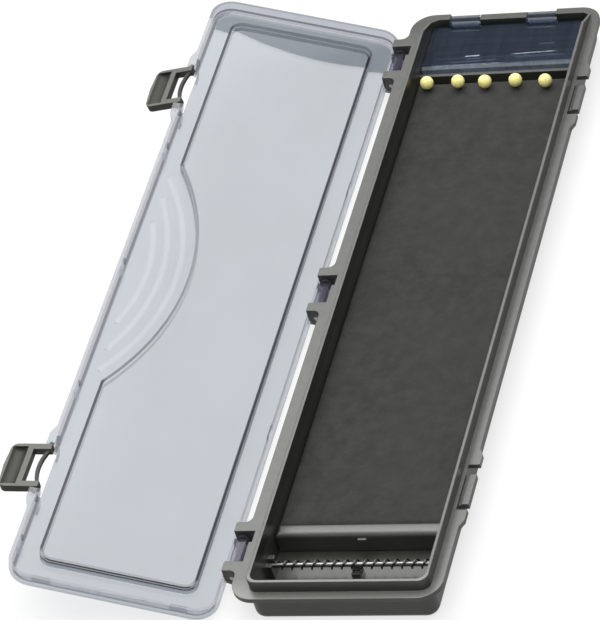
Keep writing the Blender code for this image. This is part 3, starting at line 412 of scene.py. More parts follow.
def painted_top_light_and_collar_shade(tree):
    """Masks: the level tops above the flange that get painted top light, their near end that gets more of it,
    and the collar's upright faces that get painted shade.
    """
    place = axes_of(tree, coordinates(tree))
    facing = axes_of(tree, coordinates(tree, "Normal"))
    level = spread(tree, facing["Z"], 0.0, 1.0, *LEVEL_TOP)
    flange = times(tree, level, spread(tree, place["Z"], 0.0, 1.0, *TOP_LIGHT_Z))
    near_end = spread(tree, place["Y"], NEAR_TOP_LIGHT_SHARE, 0.0, *NEAR_END_Y)
    far_end = spread(tree, place["Y"], 1.0, FAR_TOP_LIGHT_SHARE, *FAR_END_Y)
    upright = spread(tree, level, 1.0, 0.0, 0.0, 0.5)
    collar = times(tree, upright, spread(tree, place["Z"], 0.0, COLLAR_SHADE, *COLLAR_Z))
    return times(tree, flange, far_end), times(tree, flange, near_end), collar


def moulded_plastic(name, dark, light, edge, roughness, shine, round_edge=0.0004, painted_top_light=None, skin=0.0):
    """Injection-moulded plastic: fine spark-eroded grain, faint flow clouds, rubbed edges; given a top
    colour, also painted light on its level tops and painted shade on its collar.
    """
    made, tree, inputs = new_material(name)
    where = place_on_piece(tree)
    clouds = grain(tree, where, *FLOW_CLOUDS)
    speckle = grain(tree, where, *SPARK_GRAIN)
    scuffs = grain(tree, where, *SCUFFS)
    body = blend_colour(tree, spread(tree, clouds, 0.0, 1.0, *MIDDLE), dark, light)
    fine = blend_colour(tree, spread(tree, speckle, *SPECKLED), body, light)
    normal, mask = eased_edge(tree, round_edge, WORN_EDGE)
    worn = times(tree, mask, spread(tree, scuffs, *RUBBED))
    colour = blend_colour(tree, worn, fine, edge)
    # Painted top light on the level tops, more at the near end, and painted shade on the collar's upright
    # faces.
    if painted_top_light:
        flange, near_end, collar = painted_top_light_and_collar_shade(tree)
        top_light = times(tree, flange, spread(tree, scuffs, *PATCHY_TOP_LIGHT))
        for share, layer in ((top_light, painted_top_light), (near_end, NEAR_PAINTED_LIGHT), (collar, COLLAR_PAINTED_SHADE)):
            colour = blend_colour(tree, share, colour, layer)
    feed(inputs["Base Color"], colour)
    feed(inputs["Roughness"], spread(tree, clouds, *roughness))
    feed(inputs["Normal"], raised(tree, speckle, *SPARK_RELIEF, normal))
    inputs["Specular IOR Level"].default_value = shine
    inputs["Coat Weight"].default_value = skin
    inputs["Coat Roughness"].default_value = SKIN_ROUGHNESS
    return made


def pin_place(number):
    """The middle of a pin's needle."""
    return sum(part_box(f"pin_needle_{number}"), Vector()) / 2


def painted_pin_shade(tree):
    """Painted shade: dark rings round the five needles where they go into the foam."""
    place = axes_of(tree, coordinates(tree))
    rings = []
    for number in PIN_NUMBERS:
        middle = pin_place(number)
        away = diagonal(tree, minus(tree, place["X"], middle.x), minus(tree, place["Y"], middle.y))
        rings.append(spread(tree, away, 1.0, 0.0, *PIN_SHADE_RADIUS))
    return most(tree, *rings)


def foam_material():
    """Closed-cell foam: fine cells, a faint mottle, no shine."""
    made, tree, inputs = new_material("dark_foam")
    where = place_on_piece(tree)
    pores = cells(tree, where, FOAM_PORES)
    mottle = grain(tree, where, *FOAM_MOTTLE)
    layers = (
        (spread(tree, mottle, 0.0, 1.0, *MIDDLE), (0.044, 0.0437, 0.0418)),
        (spread(tree, grain(tree, where, *FOAM_PATCHES), *PATCHED), (0.044, 0.044, 0.044)),
        (spread(tree, pores, *PORED), (0.018, 0.018, 0.017)),
        # Painted shade round each needle where it enters the foam.
        (painted_pin_shade(tree), (0.004, 0.004, 0.004)),
    )
    colour = (0.028, 0.028, 0.0265)
    for share, layer in layers:
        colour = blend_colour(tree, share, colour, layer)
    feed(inputs["Base Color"], colour)
    feed(inputs["Roughness"], spread(tree, mottle, *FOAM_ROUGHNESS))
    inputs["Specular IOR Level"].default_value = FOAM_SHINE
    height = plus(tree, times(tree, pores, FOAM_PORE_SHARE), mottle)
    feed(inputs["Normal"], raised(tree, height, *FOAM_RELIEF))
    return made


def steel_material(name, along, dull, bright):
    """Drawn wire with fine lines along its length and a faint tarnish."""
    made, tree, inputs = new_material(name)
    stretch = tuple(WIRE_ALONG if axis == along else WIRE_ACROSS for axis in "XYZ")
    lines = grain(tree, place_on_piece(tree, stretch), *DRAWN_LINES)
    tarnish = grain(tree, place_on_piece(tree), *TARNISH)
    feed(inputs["Base Color"], blend_colour(tree, spread(tree, tarnish, 0.0, 1.0), dull, bright))
    inputs["Metallic"].default_value = 1.0
    feed(inputs["Roughness"], spread(tree, lines, *STEEL_ROUGHNESS))
    feed(inputs["Normal"], raised(tree, lines, *WIRE_RELIEF))
    return made


def bead_material():
    """Pale yellow cork-like beads: speckled and matt."""
    made, tree, inputs = new_material("pale_yellow_bead")
    where = place_on_piece(tree)
    clouds = grain(tree, where, *BEAD_CLOUDS)
    specks = cells(tree, where, BEAD_SPECKS)
    body = blend_colour(tree, spread(tree, clouds, 0.0, 1.0), (0.99, 0.90, 0.30), (1.0, 0.94, 0.42))
    dotted = blend_colour(tree, spread(tree, specks, *SPECKED), body, (0.66, 0.36, 0.10))
    feed(inputs["Base Color"], dotted)
    feed(inputs["Roughness"], spread(tree, clouds, *BEAD_ROUGHNESS))
    feed(inputs["Normal"], raised(tree, specks, *BEAD_RELIEF))
    return made


def clear_plastic(
    name, tint, haze, haze_colour, mirror=(0.08, 1.0), gloss=0.008,
    shade=None, ripple=None, marks=None, bulge=False,
):
    """Clear moulded plastic: tinted, mirror-like at a glance, misted; shade paints dark lines and dims the
    mirror and mist on them, marks are light streaks.
    """
    made, tree, surface = blank_material(name)
    clouds = grain(tree, place_on_piece(tree), *CLEAR_CLOUDS)
    wipes = grain(tree, place_on_piece(tree, WIPES), *STREAKS)
    body = blend_colour(tree, spread(tree, clouds, 0.0, 1.0), tint, tuple(c * CLOUD_TINT for c in tint))
    facing = add_node(tree, "ShaderNodeLayerWeight", {"Blend": 0.5}).outputs["Facing"]
    mirrored = spread(tree, calculate(tree, "POWER", facing, GLANCE_POWER), *mirror, 0.0, 1.0)
    misting = spread(tree, wipes, *(haze * share for share in WIPE_HAZE))
    if shade:
        dark = shade(tree)
        lines = blend_colour(tree, dark, WHITE, LINE_TINT)
        body = blend_colour(tree, 1.0, body, lines, "MULTIPLY")
        keep = minus(tree, 1.0, times(tree, dark, LINE_MIRROR_LOSS))
        mirrored, misting = times(tree, mirrored, keep), times(tree, misting, keep)
    if marks:
        streaked = marks(tree)
        haze_colour = blend_colour(tree, streaked, haze_colour, STREAK_COLOUR)
        misting = most(tree, misting, streaked)
    shine = {"Color": WHITE, "Roughness": spread(tree, clouds, gloss, gloss * CLOUD_GLOSS)}
    if bulge:
        shine["Normal"] = bulged(tree)
    if ripple:
        waves = grain(tree, place_on_piece(tree, ripple[1]), *STREAKS)
        shine["Normal"] = raised(tree, waves, ripple[0])
    clear = add_node(tree, "ShaderNodeBsdfTransparent", {"Color": body}).outputs[0]
    mist = add_node(tree, "ShaderNodeBsdfDiffuse", {"Color": haze_colour}).outputs[0]
    mirror_shader = add_node(tree, "ShaderNodeBsdfGlossy", shine).outputs[0]
    feed(surface, mix_shaders(tree, mirrored, mix_shaders(tree, misting, clear, mist), mirror_shader))
    return made


def bulged(tree):
    """The lid's wide sheet is not dead flat: it bulges a touch across, which bends what it mirrors."""
    across = minus(tree, axes_of(tree, coordinates(tree))["X"], SHEET_MIDDLE_X)
    across = squared(tree, divided(tree, across, SHEET_HALF_WIDTH))
    tilt = put_point(tree, 0.0, spread(tree, across, SHEET_TILT, 0.0, 0.0, 1.0), 0.0)
    return vectors(tree, "NORMALIZE", vectors(tree, "ADD", surface_normal(tree), tilt)[0])[0]


def lid_axes(tree):
    """A point's X, Y and Z as the lid has them when it is shut."""
    inputs = {
        "Vector": coordinates(tree),
        "Rotation": (0.0, math.radians(LID_OPEN_DEG), 0.0),
        "Location": HINGE - LID_SHUTS @ HINGE,
    }
    return axes_of(tree, add_node(tree, "ShaderNodeMapping", inputs).outputs["Vector"])


def from_outline(tree, axes, x_span, y_span, corner):
    """Distance outside a rounded rectangle; negative inside."""
    past = []
    for value, span in ((axes["X"], x_span), (axes["Y"], y_span)):
        off = calculate(tree, "ABSOLUTE", minus(tree, value, (span[0] + span[1]) / 2))
        past.append(minus(tree, off, (span[1] - span[0]) / 2 - corner))
    round_part = diagonal(tree, *(most(tree, p, 0.0) for p in past))
    return minus(tree, plus(tree, round_part, least(tree, most(tree, *past), 0.0)), corner)


def from_panel(tree, axes):
    """Distance outside the lid's sunk panel: without its crescent bite, and with it; negative inside."""
    flat = from_outline(tree, axes, PANEL_X, PANEL_Y, PANEL_CORNER)
    side = minus(tree, axes["X"], CRESCENT_MIDDLE[0])
    along = minus(tree, axes["Y"], CRESCENT_MIDDLE[1])
    return flat, most(tree, flat, minus(tree, CRESCENT_RADIUS, diagonal(tree, side, along)))


def line_at(tree, value, centre, half, soft):
    """1 on a line of the given half width about the centre, fading over soft on both sides."""
    away = calculate(tree, "ABSOLUTE", minus(tree, value, centre))
    return spread(tree, away, 1.0, 0.0, half, half + soft)


def lid_lines(tree):
    """Painted dark lines, standing in for the darkening refraction gives through an upright wall: round the
    panel and the rim's foot.
    """
    axes = lid_axes(tree)
    flat, panel = from_panel(tree, axes)
    step = times(
        tree,
        line_at(tree, panel, *STEP_LINE),
        spread(tree, minus(tree, panel, flat), 1.0, BITE_LINE_SHARE, 0.0, BITE_LINE_FADE),
        spread(tree, axes["Y"], 1.0, STEP_FAR_SHARE, *STEP_FAR_Y),
        spread(tree, axes["X"], 1.0, STEP_HINGE_SHARE, *STEP_HINGE_X),
        spread(tree, axes["Y"], STEP_NEAR_SHARE, 1.0, *STEP_NEAR_Y),
    )
    return most(tree, step, foot_line(tree, axes))


def foot_line(tree, axes):
    """A painted dark line, standing in for refraction, along the foot of the rim's wall, strongest on the
    latch side.
    """
    rim = from_outline(tree, axes, LID_X, LID_Y, LID_CORNER)
    latch_side = spread(tree, axes["X"], *FOOT_LINE_SHARE, *FOOT_LINE_X)
    return times(tree, line_at(tree, rim, *FOOT_LINE), latch_side)


def bend_lines(tree):
    """The rim's own painted lines, and the painted foot line where the sheet bends up into the wall."""
    return most(tree, rim_lines(tree), foot_line(tree, lid_axes(tree)))


def near_step_line(tree):
    """A painted dark line at the foot of the panel's near step, standing in for refraction."""
    return line_at(tree, lid_axes(tree)["Z"], *NEAR_STEP_LINE_Z)


def neck_shade(tree):
    """The flap is thicker, so darker, where its plate narrows to the tabs."""
    return spread(tree, axes_of(tree, coordinates(tree))["Y"], 0.0, NECK_SHADE, *NECK_Y)


def rim_lines(tree):
    """Painted dark lines, standing in for refraction, along the rim's wall: its inner step at the far end,
    and its outer lower edge.
    """
    axes = lid_axes(tree)
    outside = calculate(tree, "GREATER_THAN", from_outline(tree, axes, LID_X, LID_Y, LID_CORNER), WALL_INSIDE)
    far = spread(tree, axes["Y"], 0.0, WALL_LINE_SHARE, *WALL_LINE_Y)
    wall = times(tree, line_at(tree, axes["Z"], *WALL_LINE_Z), far, minus(tree, 1.0, outside))
    edge = times(tree, line_at(tree, axes["Z"], *EDGE_LINE_Z), EDGE_LINE_SHARE, outside)
    return most(tree, wall, edge)


def flap_streaks(tree):
    """Fine, lighter and milkier streaks across the flap, each a thin stroke with soft, broken ends."""
    place = axes_of(tree, coordinates(tree))
    broken = spread(tree, grain(tree, place_on_piece(tree, STREAK_BREAKS), *BROKEN), *BROKEN_OFF)
    strokes = []
    for start, end, half, strength in FLAP_STREAK_STROKES:
        slope = (end[1] - start[1]) / (end[0] - start[0])
        level = minus(tree, place["Y"], times(tree, place["X"], slope))
        middle, reach = (start[0] + end[0]) / 2, (end[0] - start[0]) / 2
        stroke = line_at(tree, level, start[1] - slope * start[0], half, half)
        ends = line_at(tree, place["X"], middle, reach * STREAK_SOLID, reach * (1.0 - STREAK_SOLID))
        strokes.append(times(tree, stroke, ends, strength))
    return times(tree, most(tree, *strokes), broken)


# ---------------------------------------------------------------- rule-made pieces

def form_tree(name, inputs):
    """An empty Geometry Nodes tree with named inputs; returns it with its input sockets."""
    tree = bpy.data.node_groups.new(name, "GeometryNodeTree")
    tree.interface.new_socket("Mesh", in_out="OUTPUT", socket_type="NodeSocketGeometry")
    for label, kind in inputs:
        tree.interface.new_socket(label, in_out="INPUT", socket_type="NodeSocket" + kind)
    return tree, tree.nodes.new("NodeGroupInput").outputs


def end_tree(tree, geometry, material):
    """Smooth faces, real geometry and the material, at the end of a tree."""
    smooth = add_node(tree, "GeometryNodeSetShadeSmooth", {"Geometry": geometry})
    real = add_node(tree, "GeometryNodeRealizeInstances", {"Geometry": smooth.outputs["Geometry"]})
    inputs = {"Geometry": real.outputs["Geometry"], "Material": material}
    finish = add_node(tree, "GeometryNodeSetMaterial", inputs)
    add_node(tree, "NodeGroupOutput", {0: finish.outputs["Geometry"]})


def put_point(tree, x, y, z):
    return add_node(tree, "ShaderNodeCombineXYZ", {"X": x, "Y": y, "Z": z}).outputs[0]


def swept(tree, curve, radius, sides):
    """A round wire of the given radius along a curve, with its ends closed."""
    ring = add_node(tree, "GeometryNodeCurvePrimitiveCircle", {"Resolution": sides, "Radius": radius})
    inputs = {"Curve": curve, "Profile Curve": ring.outputs["Curve"], "Fill Caps": True}
    return add_node(tree, "GeometryNodeCurveToMesh", inputs).outputs["Mesh"]


def even_curve(tree, count):
    """A straight curve of count points, and each point's share of its length."""
    line = tree.nodes.new("GeometryNodeCurvePrimitiveLine")
    points = add_node(tree, "GeometryNodeResampleCurve", {"Curve": line.outputs["Curve"], "Count": count})
    return points.outputs["Curve"], tree.nodes.new("GeometryNodeSplineParameter").outputs["Factor"]


def coil_tree():
    """The wound hook spring: even turns about the rod, closing onto it at both ends."""
    inputs = (
        ("First X", "Float"), ("Last X", "Float"), ("Rod Y", "Float"), ("Rod Z", "Float"),
        ("Coil Radius", "Float"), ("End Radius", "Float"), ("Wire Radius", "Float"),
        ("Turns", "Float"), ("Material", "Material"),
    )
    tree, sizes = form_tree("hook_spring_form", inputs)
    curve, share = even_curve(tree, plus(tree, times(tree, sizes["Turns"], COIL_POINTS_A_TURN), 1.0))
    angle = times(tree, share, sizes["Turns"], 2.0 * math.pi)
    from_end = times(tree, least(tree, share, minus(tree, 1.0, share)), sizes["Turns"])
    swell = minus(tree, sizes["Coil Radius"], sizes["End Radius"])
    reach = plus(tree, sizes["End Radius"], times(tree, swell, spread(tree, from_end, 0.0, 1.0, *COIL_OPENS)))
    length = minus(tree, sizes["Last X"], sizes["First X"])
    x = plus(tree, sizes["First X"], times(tree, length, share))
    y = plus(tree, sizes["Rod Y"], times(tree, reach, calculate(tree, "SINE", angle)))
    z = plus(tree, sizes["Rod Z"], times(tree, reach, calculate(tree, "COSINE", angle)))
    inputs = {"Geometry": curve, "Position": put_point(tree, x, y, z)}
    coil = add_node(tree, "GeometryNodeSetPosition", inputs).outputs["Geometry"]
    end_tree(tree, swept(tree, coil, sizes["Wire Radius"], COIL_SIDES), sizes["Material"])
    return tree


def pin_tree():
    """A straight steel pin between two places, with rounded ends or one drawn to a point."""
    inputs = (
        ("Start", "Vector"), ("End", "Vector"), ("Radius", "Float"), ("End Round", "Float"),
        ("Point Length", "Float"), ("Material", "Material"),
    )
    tree, sizes = form_tree("steel_pin_form", inputs)
    curve, share = even_curve(tree, PIN_RINGS)
    eased = calculate(tree, "COSINE", times(tree, share, math.pi))
    eased = minus(tree, 0.5, times(tree, eased, 0.5))
    mix = tree.nodes.new("ShaderNodeMix")
    mix.data_type = "VECTOR"
    for key, value in ((0, eased), (4, sizes["Start"]), (5, sizes["End"])):
        feed(mix.inputs[key], value)
    place = add_node(tree, "GeometryNodeSetPosition", {"Geometry": curve, "Position": mix.outputs[1]})
    span = vectors(tree, "DISTANCE", sizes["Start"], sizes["End"])["Value"]
    from_start = times(tree, eased, span)
    nearest = least(tree, from_start, minus(tree, span, from_start))
    inset = spread(tree, divided(tree, nearest, sizes["End Round"]), 1.0, 0.0, 0.0, 1.0)
    rounded = calculate(tree, "SQRT", minus(tree, 1.0, squared(tree, inset)))
    tip = spread(tree, divided(tree, from_start, sizes["Point Length"]), PIN_TIP_SHARE, 1.0, 0.0, 1.0)
    width = most(tree, times(tree, rounded, tip), PIN_TIP_SHARE)
    inputs = {"Curve": place.outputs["Geometry"], "Radius": width}
    thick = add_node(tree, "GeometryNodeSetCurveRadius", inputs).outputs["Curve"]
    end_tree(tree, swept(tree, thick, sizes["Radius"], PIN_SIDES), sizes["Material"])
    return tree


def bead_tree():
    """A pin's ball head: a slightly lumpy ball with a dimple where the pin enters."""
    inputs = (
        ("Middle", "Vector"), ("Radius", "Float"), ("Lump Height", "Float"), ("Lump Size", "Float"),
        ("Dimple Radius", "Float"), ("Dimple Depth", "Float"), ("Seed", "Float"), ("Material", "Material"),
    )
    tree, sizes = form_tree("bead_form", inputs)
    inputs = {"Subdivisions": BEAD_DETAIL, "Radius": sizes["Radius"]}
    ball = add_node(tree, "GeometryNodeMeshIcoSphere", inputs).outputs["Mesh"]
    where = tree.nodes.new("GeometryNodeInputPosition").outputs[0]
    lumps = tree.nodes.new("ShaderNodeTexNoise")
    lumps.noise_dimensions = "4D"
    scale = divided(tree, 1.0, sizes["Lump Size"])
    for key, value in (("Detail", 2.0), ("Scale", scale), ("W", sizes["Seed"]), ("Vector", where)):
        feed(lumps.inputs[key], value)
    rise = times(tree, minus(tree, lumps.outputs["Fac"], 1.0), sizes["Lump Height"])
    axes = axes_of(tree, where)
    away = divided(tree, diagonal(tree, axes["X"], axes["Y"]), sizes["Dimple Radius"])
    below = calculate(tree, "LESS_THAN", axes["Z"], 0.0)
    sunk = times(tree, spread(tree, away, 1.0, 0.0, 0.0, 1.0), below, sizes["Dimple Depth"])
    outward = tree.nodes.new("GeometryNodeInputNormal").outputs[0]
    push = vectors(tree, "SCALE", outward, minus(tree, rise, sunk))[0]
    inputs = {"Geometry": ball, "Offset": vectors(tree, "ADD", push, sizes["Middle"])[0]}
    bead = add_node(tree, "GeometryNodeSetPosition", inputs).outputs["Geometry"]
    end_tree(tree, bead, sizes["Material"])
    return tree


def put_in_scene(name, data):
    """A new object with this data."""
    made = bpy.data.objects.new(name, data)
    bpy.context.scene.collection.objects.link(made)
    return made


def evaluated_mesh(name, shape):
    """The mesh that the object's modifiers give; the object itself goes."""
    bpy.context.view_layer.update()
    graph = bpy.context.evaluated_depsgraph_get()
    made = bpy.data.meshes.new_from_object(
        shape.evaluated_get(graph), preserve_all_data_layers=True, depsgraph=graph
    )
    made.name = name
    bpy.data.objects.remove(shape, do_unlink=True)
    return made


def grown_mesh(name, tree, values):
    """The tree's result with these values for its inputs, as a plain mesh."""
    seed = put_in_scene(name + "_seed", bpy.data.meshes.new(name + "_seed"))
    form = seed.modifiers.new("form", "NODES")
    form.node_group = tree
    for item in tree.interface.items_tree:
        if item.item_type == "SOCKET" and item.in_out == "INPUT":
            form[item.identifier] = values[item.name]
    return evaluated_mesh(name, seed)


def wind_spring(material):
    """The spring along the rod, from post to post."""
    low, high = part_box("hook_spring")
    rod_low, rod_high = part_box("spring_rod")
    middle = (rod_low + rod_high) / 2
    values = {
        "First X": low.x + COIL_WIRE,
        "Last X": high.x - COIL_WIRE,
        "Rod Y": middle.y,
        "Rod Z": middle.z,
        "Coil Radius": (high.z - low.z) / 2 - COIL_WIRE,
        "End Radius": (rod_high.z - rod_low.z) / 2 + COIL_WIRE,
        "Wire Radius": COIL_WIRE,
        "Turns": COIL_TURNS,
        "Material": material,
    }
    mesh = grown_mesh("wound_spring", coil_tree(), values)
    return finish_piece("wound_spring", mesh, "tray", "steel", "hook_spring")


def draw_pin(tree, node, name, body, axis, point, material):
    """A steel pin that fills its node's box along one axis."""
    low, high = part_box(node)
    middle = (low + high) / 2
    start, end = middle.copy(), middle.copy()
    start[axis], end[axis] = low[axis], high[axis]
    radius = (high[(axis + 1) % 3] - low[(axis + 1) % 3]) / 2
    values = {
        "Start": start,
        "End": end,
        "Radius": radius,
        "End Round": radius * PIN_END_SHARE,
        "Point Length": point,
        "Material": material,
    }
    return finish_piece(name, grown_mesh(name, tree, values), body, "steel", node)


def turn_bead(tree, number, material):
    """One ball head in its node's place, with its own lumps."""
    node, name = f"pin_head_{number}", f"yellow_bead_{number}"
    low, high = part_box(node)
    values = {
        "Middle": (low + high) / 2,
        "Radius": (high.z - low.z) / 2,
        "Lump Height": BEAD_LUMP_HEIGHT,
        "Lump Size": BEAD_LUMP_SIZE,
        "Dimple Radius": BEAD_DIMPLE_RADIUS,
        "Dimple Depth": BEAD_DIMPLE_DEPTH,
        "Seed": float(number),
        "Material": material,
    }
    return finish_piece(name, grown_mesh(name, tree, values), f"pin_{number}", "pin_head", node)


# ---------------------------------------------------------------- pieces

def finish_piece(name, mesh, body, slot, *nodes):
    """The mesh as a piece that rides on its body and stands for its CAD nodes."""
    made = put_in_scene(name, mesh)
    if nodes:
        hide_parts(*nodes)
    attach(made, body)
    return made


def welded_copy(node, name, ease=0.0):
    """The node's mesh with its loose triangles merged, edges eased and flat faces kept flat."""
    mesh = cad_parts[node].data.copy()
    mesh.name = name
    mesh.materials.clear()
    work = bmesh.new()
    work.from_mesh(mesh)
    bmesh.ops.remove_doubles(work, verts=work.verts, dist=WELD)
    bmesh.ops.dissolve_limit(
        work, angle_limit=math.radians(FLAT_DEG), use_dissolve_boundaries=False,
        verts=work.verts, edges=work.edges
    )
    work.to_mesh(mesh)
    work.free()
    for layer in list(mesh.uv_layers):
        mesh.uv_layers.remove(layer)
    mesh.shade_smooth()
    mesh.set_sharp_from_angle(angle=math.radians(SMOOTH_DEG))
    return finished_mesh(mesh, name, ease)


def finished_mesh(mesh, name, ease=0.0):
    """The mesh with its sharp edges rounded to ease, and shaded by its large faces."""
    rough = put_in_scene(name + "_rough", mesh)
    if ease:
        rounded = rough.modifiers.new("ease", "BEVEL")
        rounded.width = ease
        rounded.segments = EASE_STEPS
        rounded.limit_method = "ANGLE"
        rounded.angle_limit = math.radians(EASE_FROM_DEG)
        rounded.miter_outer = "MITER_ARC"
        rounded.use_clamp_overlap = True
    even = rough.modifiers.new("even", "WEIGHTED_NORMAL")
    even.mode = "FACE_AREA"
    even.weight = EVEN_WEIGHT
    even.keep_sharp = not ease
    return evaluated_mesh(name, rough)


def dress(node, name, body, slot, material, ease=0.0):
    """A welded, smoothly shaded copy of a node with its finish."""
    mesh = welded_copy(node, name, ease)
    mesh.materials.append(material)
    return finish_piece(name, mesh, body, slot, node)


def dress_faces(mesh, materials, kinds):
    """Gives each face the material of its kind; kinds has one for each face."""
    for material in materials.values():
        mesh.materials.append(material)
    order = list(materials)
    for face, kind in zip(mesh.polygons, kinds):
        face.material_index = order.index(kind)


def on_pad(point):
    """Whether a point of the shut lid is on one of the small pads inside its rim."""
    across = abs(point.x - (LID_X[0] + LID_X[1]) / 2) - (LID_X[1] - LID_X[0]) / 2
    along = -point.y - LID_Y[1]
    if across > -LID_CORNER and abs(point.y) > LID_Y[1] - LID_CORNER:
        return False
    return PAD_SPAN[0] < max(across, along) < PAD_SPAN[1] and PAD_HEIGHTS[0] < point.z < PAD_HEIGHTS[1]


def on_ridge(point):
    """Whether a point of the shut lid is on one of the raised arcs in the crescent bite."""
    away = math.hypot(point.x - CRESCENT_MIDDLE[0], point.y - CRESCENT_MIDDLE[1])
    in_bite = away < CRESCENT_RADIUS - RIDGE_INSIDE and RIDGE_X[0] < point.x < RIDGE_X[1]
    return in_bite and RIDGE_HEIGHTS[0] < point.z < RIDGE_HEIGHTS[1]


def lid_kind(middle, normal):
    """The part of the shut lid that a face with this middle and normal belongs to."""
    upright = abs(normal.z)
    in_rim = INSIDE_RIM_X[0] < middle.x < INSIDE_RIM_X[1]
    if middle.x < KNUCKLES_TO_X:
        return "knuckle"
    if on_pad(middle):
        return "pad"
    if on_ridge(middle):
        return "ridge"
    if upright > LEVEL_FACE:
        return "sheet" if normal.z < 0.0 else "outside"
    if in_rim and PANEL_Y[1] - STEP_DEPTH < middle.y < INSIDE_RIM_Y:
        return "far_step"
    if in_rim and -INSIDE_RIM_Y < middle.y < INSIDE_RIM_Y and upright < STEEP_FACE:
        return "step_near" if middle.y < PANEL_Y[0] + STEP_DEPTH else "step"
    if upright > BENT_FACE:
        return "bend"
    return "far_rim" if middle.y > FAR_RIM_FROM else "rim"


def dress_lid(materials):
    """The clear lid: each face takes the depth of plastic that one looks through there."""
    mesh = welded_copy("lid", "clear_lid")
    flat = LID_SHUTS.transposed() @ Vector((0.0, 0.0, 1.0))
    normals = [corner.vector.copy() for corner in mesh.corner_normals]
    kinds = []
    for face in mesh.polygons:
        normal = LID_SHUTS @ face.normal
        kinds.append(lid_kind(LID_SHUTS @ (face.center - HINGE) + HINGE, normal))
        if abs(normal.z) > FLAT_FACE:
            for corner in face.loop_indices:
                normals[corner] = flat if normal.z > 0.0 else -flat
    dress_faces(mesh, materials, kinds)
    mesh.normals_split_custom_set(normals)
    return finish_piece("clear_lid", mesh, "lid", "clear_plastic", "lid")


def dress_latch(place, materials):
    """A latch: the level land round its scoop and window is painted lighter, as painted top light."""
    mesh = welded_copy(f"latch_{place}", f"olive_latch_{place}", LATCH_EASE)
    facing = [face for face in mesh.polygons if face.normal.z > LAND_FACING]
    land = max(facing, key=lambda face: face.area)
    normal, level = land.normal.copy(), land.center.dot(land.normal)
    kinds = []
    for face in mesh.polygons:
        near = abs(face.center.dot(normal) - level) < LAND_DEPTH
        kinds.append("land" if near and face.normal.dot(normal) > LAND_FACING else "body")
    dress_faces(mesh, materials, kinds)
    return finish_piece(f"olive_latch_{place}", mesh, f"latch_{place}", "latch_plastic", f"latch_{place}")


def dress_flap(materials):
    """The smoked flap: a smooth plate, a lighter front lip and two milky hinge tabs."""
    mesh = welded_copy("hook_flap", "smoked_hook_flap")
    low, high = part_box("hook_flap")
    kinds = []
    for face in mesh.polygons:
        if face.center.y > high.y - FLAP_TAB_FRONT:
            kinds.append("tab")
        elif face.center.y > high.y - FLAP_TAB_DEPTH:
            kinds.append("tab_front")
        else:
            kinds.append("lip" if face.center.y < low.y + FLAP_LIP_DEPTH else "plate")
    dress_faces(mesh, materials, kinds)
    return finish_piece("smoked_hook_flap", mesh, "hook_flap", "tinted_plastic", "hook_flap")


def foam_height(x, y, low, high, pins):
    """The foam's top: rounded at its edges, gently uneven, pressed in round the pins."""
    side = min(x - low.x, high.x - x, y - low.y, high.y - y)
    fall = 0.0
    if side < FOAM_ROUND:
        fall = FOAM_ROUND - math.sqrt(max(FOAM_ROUND ** 2 - (FOAM_ROUND - side) ** 2, 0.0))
    press = 0.0
    for pin in pins:
        away = math.hypot(x - pin.x, y - pin.y) / FOAM_PRESS_RADIUS
        press += FOAM_PRESS * math.exp(-away * away * FOAM_PRESS_FALL)
    wave = noise.noise(Vector((x, y, 0.0)) / FOAM_WAVE_LENGTH) * FOAM_WAVE
    return min(high.z - fall * FOAM_ROUND_SHARE - press - FOAM_WAVE + wave, high.z)


def make_foam(material):
    """The foam board as a soft pad: a grid of points for its top, straight sides and a flat foot."""
    low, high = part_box("foam_board")
    pins = [pin_place(number) for number in PIN_NUMBERS]
    columns = max(2, round((high.x - low.x) / FOAM_GRID))
    rows = max(2, round((high.y - low.y) / FOAM_GRID))
    work = bmesh.new()
    grid = []
    for j in range(rows + 1):
        y = low.y + (high.y - low.y) * j / rows
        line = []
        for i in range(columns + 1):
            x = low.x + (high.x - low.x) * i / columns
            line.append(work.verts.new((x, y, foam_height(x, y, low, high, pins))))
        grid.append(line)
    for j in range(rows):
        for i in range(columns):
            work.faces.new((grid[j][i], grid[j][i + 1], grid[j + 1][i + 1], grid[j + 1][i]))
    right, left = [line[-1] for line in grid[1:]], [line[0] for line in grid[-2:0:-1]]
    rim = grid[0] + right + grid[-1][-2::-1] + left
    foot = [work.verts.new((v.co.x, v.co.y, low.z)) for v in rim]
    for k in range(len(rim)):
        after = (k + 1) % len(rim)
        work.faces.new((rim[k], foot[k], foot[after], rim[after]))
    work.faces.new(foot[::-1])
    bmesh.ops.recalc_face_normals(work, faces=work.faces)
    mesh = bpy.data.meshes.new("foam_pad")
    work.to_mesh(mesh)
    work.free()
    mesh.materials.append(material)
    mesh.shade_smooth()
    mesh.set_sharp_from_angle(angle=math.radians(FOAM_SMOOTH_DEG))
    pad = finish_piece("foam_pad", mesh, "tray", "foam", "foam_board")
    return pad


# ---------------------------------------------------------------- studio

